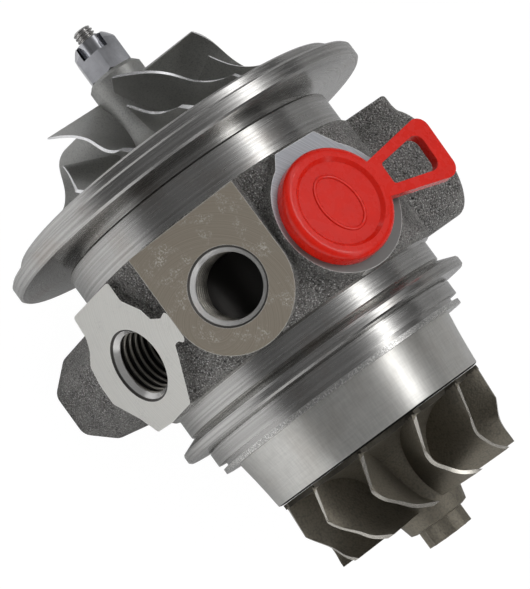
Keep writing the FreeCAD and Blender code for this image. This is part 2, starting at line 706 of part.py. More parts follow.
def heat_shield():
    """The pressed cup over the turbine nose: flat rim, drawn wall, round corner, hole."""
    sheet = SHIELD_SHEET
    rim_top = shield_seat + SHIELD_RIM_WIDTH
    inner_mouth = SHIELD_MOUTH_RADIUS - sheet
    outer_line = V(shield_end - SHIELD_CORNER, 0, SHIELD_END_RADIUS)
    outer_corner = V(shield_end, 0, SHIELD_END_RADIUS - SHIELD_CORNER)
    turn = SHIELD_CORNER * math.sin(math.radians(45))
    centre_x = shield_end - SHIELD_CORNER
    centre_r = SHIELD_END_RADIUS - SHIELD_CORNER
    outer_middle = V(centre_x + turn, 0, centre_r + turn)
    small = (SHIELD_CORNER - sheet) / SHIELD_CORNER
    inner_middle = V(centre_x + turn * small, 0, centre_r + turn * small)
    points = [
        V(shield_seat, 0, inner_mouth), V(shield_seat, 0, SHIELD_RIM_RADIUS),
        V(rim_top, 0, SHIELD_RIM_RADIUS), V(rim_top, 0, SHIELD_MOUTH_RADIUS), outer_line,
    ]
    inner_line = V(centre_x, 0, SHIELD_END_RADIUS - sheet)
    inner_corner = V(shield_end - sheet, 0, centre_r)
    edges = []
    for a, b in zip(points, points[1:]):
        edges.append(Part.makeLine(a, b))
    edges.append(Part.Arc(outer_line, outer_middle, outer_corner).toShape())
    edges.append(Part.makeLine(outer_corner, V(shield_end, 0, SHIELD_HOLE_RADIUS)))
    edges.append(Part.makeLine(V(shield_end, 0, SHIELD_HOLE_RADIUS),
                               V(shield_end - sheet, 0, SHIELD_HOLE_RADIUS)))
    edges.append(Part.makeLine(V(shield_end - sheet, 0, SHIELD_HOLE_RADIUS), inner_corner))
    edges.append(Part.Arc(inner_corner, inner_middle, inner_line).toShape())
    edges.append(Part.makeLine(inner_line, points[0]))
    return Part.Face(Part.Wire(edges)).revolve(ORIGIN, AXIS, 360)


def flow_line(points):
    """A smooth curve through (x, radius) points."""
    curve = Part.BSplineCurve()
    curve.interpolate([V(x, 0, r) for x, r in points])
    return curve


def stations(curve, count, start, stop):
    """Points at even distances between two fractions of a curve's length."""
    length = curve.length()
    found = []
    for index in range(count):
        share = start + (stop - start) * index / (count - 1)
        found.append(curve.value(curve.parameterAtDistance(share * length)))
    return found


def wrap_at(angles, share):
    """The wrap angle at a share of the blade's length, from evenly spaced angles."""
    last = len(angles) - 1
    curve = Part.BSplineCurve()
    curve.interpolate(Points=[V(index, angle, 0) for index, angle in enumerate(angles)],
                      Parameters=[index / last for index in range(last + 1)])
    return curve.value(share).y


def swung(point, angle):
    """A meridional point turned about the shaft."""
    turn = math.radians(angle)
    return V(point.x, -point.z * math.sin(turn), point.z * math.cos(turn))


def blade(hub, shroud, hub_wrap, tip_wrap, root_thickness, tip_thickness, start=0.0):
    """One blade, lofted through trapezoids that run from inside the hub past the shroud."""
    count = 9
    overrun = 1.03
    hub_points = stations(hub, count, start, 1.0)
    tip_points = stations(shroud, count, start, 1.0)
    lines = []
    for index in range(count):
        share = start + (1 - start) * index / (count - 1)
        root = swung(hub_points[index], hub_wrap(share))
        tip = swung(tip_points[index], tip_wrap(share))
        span = (tip - root).normalize()
        lines.append((root - span * 0.45, tip + span * 0.8, span))
    sections = []
    for index in range(count):
        before = lines[max(index - 1, 0)]
        after = lines[min(index + 1, count - 1)]
        along = (after[0] + after[1]) - (before[0] + before[1])
        root, tip, span = lines[index]
        side = along.cross(span).normalize()
        thin = 0.55 if index == 0 else 1.0
        low = side * (root_thickness / 2 * thin)
        high = side * (tip_thickness / 2 * thin)
        corners = [root - low, tip - high, tip + high, root + low]
        if index == count - 1:
            push = along.normalize() * (overrun - 1) * 25
            corners = [corner + push for corner in corners]
        sections.append(Part.makePolygon(corners + corners[:1]))
    return Part.makeLoft(sections, True, False)


def compressor_lines():
    """The hub line and the shroud line of the compressor wheel."""
    rim_front = wheel_back - COMPRESSOR_RIM
    eye = wheel_nose + COMPRESSOR_NOSE_LENGTH
    reach = rim_front - eye
    rise = COMPRESSOR_TIP_RADIUS - 0.1 - COMPRESSOR_NOSE_RADIUS
    hub = flow_line([
        (eye, COMPRESSOR_NOSE_RADIUS),
        (eye + 0.35 * reach, COMPRESSOR_NOSE_RADIUS + 0.045 * rise),
        (eye + 0.64 * reach, COMPRESSOR_NOSE_RADIUS + 0.175 * rise),
        (eye + 0.825 * reach, COMPRESSOR_NOSE_RADIUS + 0.39 * rise),
        (eye + 0.936 * reach, COMPRESSOR_NOSE_RADIUS + 0.67 * rise),
        (rim_front, COMPRESSOR_TIP_RADIUS - 0.1),
    ])
    lip = rim_front - COMPRESSOR_TIP_WIDTH
    tip_start = wheel_nose + COMPRESSOR_EYE_START
    run = lip - tip_start
    spread = COMPRESSOR_TIP_RADIUS - COMPRESSOR_EYE_RADIUS
    shroud = flow_line([
        (tip_start, COMPRESSOR_EYE_RADIUS),
        (tip_start + 0.43 * run, COMPRESSOR_EYE_RADIUS + 0.05 * spread),
        (tip_start + 0.72 * run, COMPRESSOR_EYE_RADIUS + 0.27 * spread),
        (tip_start + 0.91 * run, COMPRESSOR_EYE_RADIUS + 0.6 * spread),
        (lip, COMPRESSOR_TIP_RADIUS),
    ])
    return hub, shroud


def revolved_curves(edges):
    """A solid of revolution from a closed chain of edges."""
    return Part.Face(Part.Wire(edges)).revolve(ORIGIN, AXIS, 360)


def line_between(a, b):
    """A straight edge between two (x, radius) points."""
    return Part.makeLine(V(a[0], 0, a[1]), V(b[0], 0, b[1]))


def chain(points):
    """Straight edges through (x, radius) points, left open."""
    return [line_between(a, b) for a, b in zip(points, points[1:])]


def compressor_wheel():
    """The compressor wheel: hub, full blades and splitters, and the bore for the shaft."""
    hub, shroud = compressor_lines()
    eye = wheel_nose + COMPRESSOR_NOSE_LENGTH
    rim_front = wheel_back - COMPRESSOR_RIM
    rim = COMPRESSOR_TIP_RADIUS - 0.1
    bore = WHEEL_SEAT_RADIUS + FIT_CLEARANCE
    core = revolved_curves([hub.toShape()] + chain([
        (rim_front, rim), (wheel_back, rim), (wheel_back, 12.0), (sleeve_start, 11.0),
        (sleeve_start, bore), (wheel_nose, bore), (wheel_nose, COMPRESSOR_NOSE_FACE),
        (wheel_nose + 0.8, COMPRESSOR_NOSE_RADIUS), (eye, COMPRESSOR_NOSE_RADIUS)]))
    lip = rim_front - COMPRESSOR_TIP_WIDTH
    limit = revolved_curves([shroud.toShape()] + chain([
        (lip, COMPRESSOR_TIP_RADIUS), (wheel_back - 0.15, COMPRESSOR_TIP_RADIUS),
        (wheel_back - 0.15, 3.0), (wheel_nose, 3.0), (wheel_nose, COMPRESSOR_EYE_RADIUS),
        (wheel_nose + COMPRESSOR_EYE_START, COMPRESSOR_EYE_RADIUS)]))
    hub_angles = (-15, 11, 26.5, 35, 41.5, 47, 53.5)
    tip_angles = (0, 15.5, 25.4, 30.8, 34.9, 40.3, 46.0)
    pieces = []
    pitch = 360 / COMPRESSOR_BLADES
    for start, offset in ((0.0, 0.0), (SPLITTER_START, -pitch / 2)):
        one = blade(hub, shroud, lambda share: -wrap_at(hub_angles, share),
                    lambda share: -wrap_at(tip_angles, share),
                    COMPRESSOR_BLADE_ROOT, COMPRESSOR_BLADE_TIP, start)
        one = one.common(limit)
        for index in range(COMPRESSOR_BLADES):
            copy = one.copy()
            phase = 90 - COMPRESSOR_PHASE - offset + index * pitch
            pieces.append(tilted(copy, phase))
    return core.fuse(pieces)


def turbine_lines():
    """The hub line and the shroud line of the turbine wheel."""
    rim_front = turbine_back + TURBINE_RIM
    exit_face = turbine_back + TURBINE_LENGTH
    reach = exit_face + 0.4 - rim_front
    drop = TURBINE_RADIUS - TURBINE_EXIT_HUB
    hub = flow_line([
        (rim_front, TURBINE_RADIUS),
        (rim_front + 0.06 * reach, TURBINE_EXIT_HUB + 0.56 * drop),
        (rim_front + 0.21 * reach, TURBINE_EXIT_HUB + 0.31 * drop),
        (rim_front + 0.43 * reach, TURBINE_EXIT_HUB + 0.15 * drop),
        (rim_front + 0.70 * reach, TURBINE_EXIT_HUB + 0.05 * drop),
        (exit_face + 0.4, TURBINE_EXIT_HUB),
    ])
    shoulder = turbine_back + TURBINE_INLET_WIDTH
    run = exit_face - shoulder
    fall = TURBINE_RADIUS - TURBINE_EXIT_RADIUS
    shroud = flow_line([
        (shoulder, TURBINE_RADIUS),
        (shoulder + 0.23 * run, TURBINE_EXIT_RADIUS + 0.57 * fall),
        (shoulder + 0.48 * run, TURBINE_EXIT_RADIUS + 0.15 * fall),
        (shoulder + 0.74 * run, TURBINE_EXIT_RADIUS + 0.01 * fall),
        (exit_face, TURBINE_EXIT_RADIUS),
    ])
    return hub, shroud


def hexagon(start, end, across_flats, tilt):
    """A hexagonal prism on the shaft axis."""
    reach = across_flats / 2 / math.cos(math.radians(30))
    corners = []
    for index in range(6):
        turn = math.radians(60 * index + tilt)
        corners.append(V(start, reach * math.sin(turn), reach * math.cos(turn)))
    outline = Part.makePolygon(corners + corners[:1])
    return Part.Face(outline).extrude(V(end - start, 0, 0))


def turbine_wheel():
    """The turbine wheel: scalloped back disc, hub, blades and the 12-point drive on its nose."""
    hub, shroud = turbine_lines()
    rim_front = turbine_back + TURBINE_RIM
    exit_face = turbine_back + TURBINE_LENGTH
    nose_start = exit_face + 0.4
    nose_step = nose_start + TURBINE_NOSE_LENGTH - 0.7
    nose_end_x = nose_start + TURBINE_NOSE_LENGTH - 0.4
    core = revolved_curves([hub.toShape()] + chain([
        (nose_start, TURBINE_EXIT_HUB), (nose_step, TURBINE_EXIT_HUB - 0.7),
        (nose_end_x, TURBINE_EXIT_HUB - 1.6), (nose_end_x, 0), (weld_face, 0),
        (weld_face, SEAL_BOSS_RADIUS), (turbine_back - 0.4, SEAL_BOSS_RADIUS + 0.3),
        (turbine_back, SEAL_BOSS_RADIUS + 1.5), (turbine_back, TURBINE_RADIUS),
        (rim_front, TURBINE_RADIUS)]))
    pitch = 360 / TURBINE_BLADES
    scallops = []
    for index in range(TURBINE_BLADES):
        cutter = Part.makeCylinder(SCALLOP_RADIUS, 6.0,
                                   V(turbine_back - 1, 0, SCALLOP_PLACE), AXIS)
        phase = 90 - TURBINE_PHASE + (index + 0.5) * pitch
        scallops.append(tilted(cutter, phase))
    core = core.cut(scallops)
    shoulder = turbine_back + TURBINE_INLET_WIDTH
    limit = revolved_curves([shroud.toShape()] + chain([
        (exit_face, TURBINE_EXIT_RADIUS), (exit_face, 3.0), (turbine_back + 0.2, 3.0),
        (turbine_back + 0.2, TURBINE_RADIUS), (shoulder, TURBINE_RADIUS)]))
    hub_angles = (-2.5, -5.0, -6.5, -7.5, -4.0, 12.5)
    tip_angles = (-8.2, -7.9, -6.0, -1.8, 3.0, 13.6)
    one = blade(hub, shroud, lambda share: -wrap_at(hub_angles, share),
                lambda share: -wrap_at(tip_angles, share),
                TURBINE_BLADE_ROOT, TURBINE_BLADE_TIP)
    one = one.common(limit)
    pieces = []
    for index in range(TURBINE_BLADES):
        pieces.append(tilted(one.copy(), 90 - TURBINE_PHASE + index * pitch))
    for tilt in (12, 42):
        pieces.append(hexagon(nose_end_x, nose_end_x + TURBINE_HEX_LENGTH, TURBINE_HEX, tilt))
    return core.fuse(pieces)


def lock_nut():
    """The nut on the shaft stub: a chamfered hexagon with one side ground for balance."""
    nut_tip = wheel_nose - NUT_LENGTH
    body = hexagon(nut_tip, wheel_nose, NUT_ACROSS_FLATS, -NUT_CORNER_TILT)
    corner = NUT_ACROSS_FLATS / 2 / math.cos(math.radians(30)) + 0.05
    rounding = turned([
        (nut_tip, 0), (nut_tip, NUT_TOP_RADIUS - 0.4), (nut_tip + 0.4, NUT_TOP_RADIUS),
        (nut_tip + 2.6, corner), (wheel_nose - 0.4, corner),
        (wheel_nose, corner - 0.5), (wheel_nose, 0)])
    body = body.common(rounding)
    relief_end = nut_tip + NUT_RELIEF_LENGTH
    relief = Part.makeBox(NUT_RELIEF_LENGTH + 1, NUT_RELIEF_WIDTH, 8.0,
                          V(nut_tip - 1, -NUT_RELIEF_WIDTH / 2, 0))
    relief = relief.cut(drum(nut_tip - 2, relief_end + 1, NUT_RELIEF_RADIUS))
    bore = drum(nut_tip - 1, wheel_nose + 1, STUB_RADIUS + FIT_CLEARANCE)
    seat = turned([(wheel_nose - 0.6, 0), (wheel_nose - 0.6, STUB_RADIUS + 0.1),
                   (wheel_nose, WHEEL_SEAT_RADIUS), (wheel_nose + 1, WHEEL_SEAT_RADIUS),
                   (wheel_nose + 1, 0)])
    return body.cut([tilted(relief, NUT_CORNER_TILT + 8), bore, seat]).removeSplitter()


def cap_loop():
    """The pull loop of the inlet cap: a flat trapezoid frame with round corners."""
    low = inlet_face + CAP_THICKNESS - CAP_LOOP_THICKNESS
    high = inlet_face + CAP_THICKNESS
    near = CAP_RADIUS - 2.0
    outer = slab([(-3.7, near), (3.7, near), (6.9, 25.6), (-6.9, 25.6)], low, high)
    window = slab([(-2.2, CAP_RADIUS + 0.9), (2.2, CAP_RADIUS + 0.9), (4.1, 22.7),
                   (-4.1, 22.7)], low - 1, high + 1)
    far = [edge for edge in upright_edges(outer) if edge.BoundBox.YMin > near + 1]
    outer = outer.makeFillet(2.4, far)
    near_corners = [edge for edge in upright_edges(window) if edge.BoundBox.YMin < 15]
    window = window.makeFillet(0.7, near_corners)
    far_corners = [edge for edge in upright_edges(window) if edge.BoundBox.YMin > 20]
    window = window.makeFillet(1.9, far_corners)
    loop = outer.cut(window)
    loop.rotate(ORIGIN, UP, CAP_LOOP_TILT)
    loop.translate(V(inlet_place, 0, 0))
    return loop


def oil_inlet_cap():
    """The plastic cap in the oil inlet: domed rim, sunken face, hollow plug, pull loop."""
    top = inlet_face + CAP_THICKNESS
    head = post(inlet_place, 0, CAP_RADIUS, inlet_face, top)
    head = head.makeFillet(1.3, edges_at(head, top))
    head = head.fuse(cap_loop())
    dish_radius = CAP_RADIUS - CAP_RIM_WIDTH
    dish = Part.makeCone(dish_radius - CAP_RECESS, dish_radius, CAP_RECESS,
                         V(inlet_place, 0, top - CAP_RECESS), UP)
    plug = post(inlet_place, 0, cap_plug_radius, inlet_face - CAP_PLUG_LENGTH, inlet_face)
    plug = plug.makeChamfer(0.5, edges_at(plug, inlet_face - CAP_PLUG_LENGTH))
    hollow = post(inlet_place, 0, cap_plug_radius - CAP_PLUG_WALL,
                  inlet_face - CAP_PLUG_LENGTH - 1, inlet_face + 1)
    return head.cut(dish).fuse(plug).cut(hollow).removeSplitter()


def parts():
    """Every piece by its node name."""
    clip_starts = (BEARING_1_START - clip_reach, bearing_1_end + CLIP_GAP,
                   BEARING_2_START - clip_reach, bearing_2_end + CLIP_GAP)
    pieces = {
        "bearing_housing": bearing_housing(),
        "seal_plate": seal_plate(),
        "seal_plate_o_ring": seal_plate_o_ring(),
        "seal_plate_snap_ring": seal_plate_snap_ring(),
        "oil_deflector": oil_deflector(),
        "thrust_bearing": thrust_bearing(),
        "thrust_pins": thrust_pins(),
        "thrust_collar": thrust_collar(),
        "seal_sleeve": seal_sleeve(),
        "compressor_piston_ring": piston_ring(sleeve_ring_start, plate_bore_radius),
        "turbine_piston_ring": piston_ring(turbine_ring_start, seal_bore_radius),
        "journal_bearing_compressor": journal_bearing(BEARING_1_START),
        "journal_bearing_turbine": journal_bearing(BEARING_2_START),
        "rotor_shaft": rotor_shaft(),
        "compressor_wheel": compressor_wheel(),
        "turbine_wheel": turbine_wheel(),
        "lock_nut": lock_nut(),
        "heat_shield": heat_shield(),
        "oil_inlet_cap": oil_inlet_cap(),
    }
    for number, start in enumerate(clip_starts, 1):
        pieces["bearing_snap_ring_" + str(number)] = bearing_clip(start)
    return pieces


os.makedirs("parts", exist_ok=True)
for node, shape in parts().items():
    shape.exportStep("parts/" + node + ".step")
    print(node, shape.isValid(), len(shape.Solids), round(shape.Volume, 1))
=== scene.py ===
"""Looks of a water-cooled turbocharger cartridge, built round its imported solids.

Everything is in metres in the row frame: X along the shaft towards the turbine, Z up out of
the oil inlet. Sizes in the classes are in millimetres and are scaled when a mesh is made.
"""

from __future__ import annotations

import logging
import math
from collections.abc import Callable, Iterator
from contextlib import contextmanager
from dataclasses import dataclass
from enum import Enum

import bmesh
import bpy
import numpy as np
from mathutils import Matrix, Vector


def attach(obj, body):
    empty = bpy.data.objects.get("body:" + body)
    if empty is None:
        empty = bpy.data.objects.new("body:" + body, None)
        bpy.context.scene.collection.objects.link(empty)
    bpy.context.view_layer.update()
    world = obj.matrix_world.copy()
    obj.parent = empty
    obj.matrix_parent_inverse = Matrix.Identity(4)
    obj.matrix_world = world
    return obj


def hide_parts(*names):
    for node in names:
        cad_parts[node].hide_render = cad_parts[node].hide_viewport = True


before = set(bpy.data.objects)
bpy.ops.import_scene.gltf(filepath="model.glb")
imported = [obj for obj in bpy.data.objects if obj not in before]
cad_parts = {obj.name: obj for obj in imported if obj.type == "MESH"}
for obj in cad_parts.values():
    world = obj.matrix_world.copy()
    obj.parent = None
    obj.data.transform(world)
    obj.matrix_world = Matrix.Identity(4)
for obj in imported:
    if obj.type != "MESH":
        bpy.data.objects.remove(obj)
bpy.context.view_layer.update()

log = logging.getLogger("cartridge")
Piece = bpy.types.Object
Material = bpy.types.Material
Socket = bpy.types.NodeSocket
Array = np.ndarray

MM = 0.001
PER_METRE = 1000.0
TAU = 2.0 * math.pi


class Body(Enum):
    """The moving bodies of the cartridge that scene pieces ride on."""

    HOUSING = "housing"
    ROTOR = "rotor"
    CAP = "cap"


class Zone(Enum):
    """Surface finishes of the housing, each kept as a face attribute of its mesh."""

    TURNED = "turned"
    MILLED_UPPER = "milled_upper"
    MILLED_LOWER = "milled_lower"
    MILLED_PAD = "milled_pad"
    BORED = "bored"


def direction(tilt: float) -> Array:
    """Unit vector square to the shaft at a tilt from straight up, positive towards -Y.

    Args:
        tilt: angle about the shaft in degrees.

    Returns:
        The vector as an array of three numbers.
    """
    turn = math.radians(tilt)
    return np.array([0.0, -math.sin(turn), math.cos(turn)])


def across(tilt: float) -> Array:
    """Unit vector square to the shaft and to direction(tilt)."""
    turn = math.radians(tilt)
    return np.array([0.0, math.cos(turn), math.sin(turn)])


def smoothstep(low: float, high: float, value: Array) -> Array:
    """Blend from 0 at low to 1 at high, with flat ends: 3t^2 - 2t^3 of the clamped share t.

    Args:
        low: value where the blend starts.
        high: value where the blend ends.
        value: array of values.

    Returns:
        The blended array.
    """
    share = np.clip((value - low) / (high - low), 0.0, 1.0)
    return share * share * (3.0 - 2.0 * share)


def ridges(along: Array, turns: Array, pitch: float, flat: float) -> Array:
    """Height from 0 to 1 of a thread's ridge, which climbs one pitch a turn.

    It is a rounded triangle wave of along / pitch - turns / TAU.

    Args:
        along: places along the thread.
        turns: angles round the thread.
        pitch: distance from ridge to ridge.
        flat: share of the wave that is level at its top and at its foot.

    Returns:
        The heights, one row for each angle.
    """
    phase = along[None, :] / pitch - turns[:, None] / TAU
    wave = np.abs(2.0 * (phase - np.floor(phase)) - 1.0)
    return smoothstep(flat, 1.0 - flat, wave)


@contextmanager
def opened(mesh: bpy.types.Mesh) -> Iterator[bmesh.types.BMesh]:
    """Open a mesh for editing and write it back at the end.

    Args:
        mesh: the mesh.

    Yields:
        Its editable form.
    """
    work = bmesh.new()
    work.from_mesh(mesh)
    yield work
    work.to_mesh(mesh)
    work.free()


def add(name: str, data: bpy.types.ID) -> Piece:
    """Put a mesh, a camera or a lamp into the scene as a new object."""
    made = bpy.data.objects.new(name, data)
    bpy.context.scene.collection.objects.link(made)
    return made


class MeshMaker:
    """Turns arrays of points into mesh objects, and makes changed copies of the meshes of nodes.
    """

    WELD = 2e-6

    @staticmethod
    def grid(name: str, points: Array, closed: bool = True) -> Piece:
        """Make a smooth surface from a grid of points.

        Args:
            name: name of the new object.
            points: array of shape (rows, columns, 3) in millimetres.
            closed: join the last row and column to the first, and face outwards.

        Returns:
            The new object, already in the scene.
        """
        rows, columns = points.shape[:2]
        left_out = 0 if closed else 1
        u, v = np.meshgrid(np.arange(rows - left_out), np.arange(columns - left_out),
                           indexing="ij")
        u_next, v_next = (u + 1) % rows, (v + 1) % columns
        quads = np.stack([u * columns + v, u_next * columns + v,
                          u_next * columns + v_next, u * columns + v_next],
                         axis=-1).reshape(-1, 4)
        mesh = bpy.data.meshes.new(name)
        mesh.vertices.add(rows * columns)
        mesh.vertices.foreach_set("co", (points * MM).astype(np.float32).ravel())
        mesh.loops.add(quads.size)
        mesh.loops.foreach_set("vertex_index", quads.astype(np.int32).ravel())
        mesh.polygons.add(len(quads))
        mesh.polygons.foreach_set("loop_start", np.arange(0, quads.size, 4, dtype=np.int32))
        mesh.polygons.foreach_set("use_smooth", np.full(len(quads), True))
        mesh.update(calc_edges=True)
        mesh.validate()
        made = add(name, mesh)
        if closed:
            with opened(mesh) as work:
                bmesh.ops.recalc_face_normals(work, faces=work.faces)
        return made

    @staticmethod
    def copy_node(node: str, name: str, sharp: float = 30.0) -> Piece:
        """Copy a node's mesh, merge its loose triangles and shade it smooth between edges.

        Args:
            node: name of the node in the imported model.
            name: name of the new object.
            sharp: faces that meet at more than this many degrees keep a hard edge.

        Returns:
            The new object, which stands for the node.
        """
        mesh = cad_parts[node].data.copy()
        mesh.name = name
        with opened(mesh) as work:
            bmesh.ops.remove_doubles(work, verts=work.verts, dist=MeshMaker.WELD)
        mesh.polygons.foreach_set("use_smooth", np.ones(len(mesh.polygons), dtype=bool))
        layer = mesh.attributes.get("custom_normal")
        if layer is not None:
            mesh.attributes.remove(layer)
        mesh.set_sharp_from_angle(angle=math.radians(sharp))
        mesh.update()
        made = add(name, mesh)
        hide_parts(node)
        return made

    @staticmethod
    def move(made: Piece, change: Callable[[Array], Array]) -> None:
        """Move the vertices of an object.

        Args:
            made: the object.
            change: gives the new places for the old ones, shape (count, 3), in millimetres.
        """
        points = np.empty(len(made.data.vertices) * 3)
        made.data.vertices.foreach_get("co", points)
        moved = change(points.reshape(-1, 3) / MM) * MM
        made.data.vertices.foreach_set("co", moved.ravel())
        made.data.update()

    @staticmethod
    def face_centres(made: Piece) -> tuple[Array, Array]:
        """Face centres in millimetres and face normals of an object's mesh.

        Args:
            made: the object.

        Returns:
            Two arrays of shape (faces, 3).
        """
        count = len(made.data.polygons)
        centres = np.empty(count * 3)
        normals = np.empty(count * 3)
        made.data.polygons.foreach_get("center", centres)
        made.data.polygons.foreach_get("normal", normals)
        return centres.reshape(-1, 3) / MM, normals.reshape(-1, 3)

    @staticmethod
    def mark(made: Piece, name: str, mask: Array) -> None:
        """Keep a mask of the faces as a number attribute that materials read.

        Args:
            made: the object.
            name: name of the attribute.
            mask: one value a face.
        """
        layer = made.data.attributes.new(name, "FLOAT", "FACE")
        layer.data.foreach_set("value", mask.astype(np.float32))


@dataclass(frozen=True)
class Tint:
    """A colour written as it looks on a screen, 0 to 255 a channel."""

    red: float
    green: float
    blue: float

    def linear(self) -> tuple[float, float, float, float]:
        """The colour in linear light, as shader sockets take it."""
        def one(value: float) -> float:
            share = value / 255.0
            return share / 12.92 if share <= 0.04045 else ((share + 0.055) / 1.055) ** 2.4
        return one(self.red), one(self.green), one(self.blue), 1.0

    def times(self, red: float, green: float, blue: float) -> Tint:
        """The colour with its channels multiplied."""
        return Tint(self.red * red, self.green * green, self.blue * blue)


class Shader:
    """A material's node tree with short calls for the nodes that the finishes share."""

    def __init__(self, tree: bpy.types.NodeTree) -> None:
        """Keep the tree that the nodes go into."""
        self.tree = tree

    def node(self, kind: str, **settings: object) -> bpy.types.Node:
        """Add a node and set its properties."""
        made = self.tree.nodes.new(kind)
        for key, value in settings.items():
            setattr(made, key, value)
        return made

    def join(self, source: Socket, target: Socket) -> None:
        """Link one socket to another."""
        self.tree.links.new(source, target)

    def put(self, socket: Socket, value: object) -> None:
        """Link a socket's source, or set its plain value."""
        if isinstance(value, Socket):
            self.join(value, socket)
        else:
            socket.default_value = value

    def place(self) -> Socket:
        """Object coordinates."""
        return self.node("ShaderNodeTexCoord").outputs["Object"]

    def sized(self, size: object) -> Socket:
        """Object coordinates counted in steps of a size in millimetres."""
        made = self.node("ShaderNodeVectorMath", operation="SCALE")
        self.join(self.place(), made.inputs[0])
        self.join(self.math("DIVIDE", PER_METRE, size), made.inputs["Scale"])
        return made.outputs[0]

    def parts(self, vector: object = None) -> tuple[Socket, ...]:
        """The three parts of a vector, or else of the object coordinates."""
        made = self.node("ShaderNodeSeparateXYZ")
        self.join(self.place() if vector is None else vector, made.inputs[0])
        return tuple(made.outputs)

    def attribute(self, name: str) -> Socket:
        """A number attribute of the mesh."""
        return self.node("ShaderNodeAttribute", attribute_name=name).outputs["Fac"]

    def math(self, operation: str, first: object, second: object = 0.0,
             clamp: bool = False) -> Socket:
        """The outcome of a math node on two numbers or sockets."""
        made = self.node("ShaderNodeMath", operation=operation, use_clamp=clamp)
        self.put(made.inputs[0], first)
        self.put(made.inputs[1], second)
        return made.outputs[0]

    def times(self, first: object, second: object) -> Socket:
        """The product of two numbers or sockets."""
        return self.math("MULTIPLY", first, second)

    def inverse(self, mask: object) -> Socket:
        """A mask turned round: 1 less the mask."""
        return self.math("SUBTRACT", 1.0, mask)

    def union(self, *masks: Socket) -> Socket:
        """One mask for several: their sum, held at 1."""
        whole = masks[0]
        for mask in masks[1:]:
            whole = self.math("ADD", whole, mask, clamp=True)
        return whole

    def noise(self, scale: float, detail: float = 3.0, rough: float = 0.55,
              vector: object = None) -> Socket:
        """Noise on object coordinates or on a vector, from 0 to 1."""
        made = self.node("ShaderNodeTexNoise")
        made.inputs["Scale"].default_value = scale
        made.inputs["Detail"].default_value = detail
        made.inputs["Roughness"].default_value = rough
        self.join(self.place() if vector is None else vector, made.inputs["Vector"])
        return made.outputs["Fac"]

    def bands(self, scale: float, detail: float,
              along: Socket) -> Socket:
        """Noise along a single number, from 0 to 1."""
        made = self.node("ShaderNodeTexNoise", noise_dimensions="1D")
        made.inputs["Scale"].default_value = scale
        made.inputs["Detail"].default_value = detail
        self.join(along, made.inputs["W"])
        return made.outputs["Fac"]

    def spread(self, value: object, low: float, high: float, to_low: float = 0.0,
               to_high: float = 1.0) -> Socket:
        """A number carried from one range to another and held at its ends."""
        made = self.node("ShaderNodeMapRange", clamp=True)
        for label, part in (("Value", value), ("From Min", low), ("From Max", high),
                            ("To Min", to_low), ("To Max", to_high)):
            self.put(made.inputs[label], part)
        return made.outputs["Result"]

    def blend(self, share: object, first: object, second: object) -> Socket:
        """A colour between two colours."""
        made = self.node("ShaderNodeMix", data_type="RGBA")
        self.put(made.inputs["Factor"], share)
        for socket, value in ((made.inputs[6], first), (made.inputs[7], second)):
            self.put(socket, value.linear() if isinstance(value, Tint) else value)
        return made.outputs[2]

    def between(self, share: object, first: object, second: object) -> Socket:
        """A number between two numbers."""
        made = self.node("ShaderNodeMix", data_type="FLOAT")
        self.put(made.inputs["Factor"], share)
        self.put(made.inputs[2], first)
        self.put(made.inputs[3], second)
        return made.outputs[0]

    def coats(self, under: object, *over: tuple[object, object]) -> Socket:
        """A colour with others laid over it, each where its mask says."""
        for mask, colour in over:
            under = self.blend(mask, under, colour)
        return under

    def layers(self, under: object, *over: tuple[object, object]) -> Socket:
        """A number with others laid over it, each where its mask says."""
        for mask, value in over:
            under = self.between(mask, under, value)
        return under

    def bump(self, height: Socket, depth: float,
             under: object = None) -> Socket:
        """A normal raised by a height of the given depth in millimetres."""
        made = self.node("ShaderNodeBump")
        made.inputs["Strength"].default_value = 1.0
        made.inputs["Distance"].default_value = depth * MM
        self.join(height, made.inputs["Height"])
        if under is not None:
            self.join(under, made.inputs["Normal"])
        return made.outputs["Normal"]

    def dress(self, colour: object, rough: object, normal: Socket) -> None:
        """Give the main shader its colour, roughness and normal."""
        shader = self.tree.nodes["Principled BSDF"]
        self.put(shader.inputs["Base Color"], colour)
        self.put(shader.inputs["Roughness"], rough)
        self.put(shader.inputs["Normal"], normal)

    def group(self, tree: bpy.types.NodeTree, **values: float) -> bpy.types.NodeOutputs:
        """Place a shared group, set its inputs and give its outputs."""
        made = self.node("ShaderNodeGroup", node_tree=tree)
        for key, value in values.items():
            made.inputs[key].default_value = value
        return made.outputs


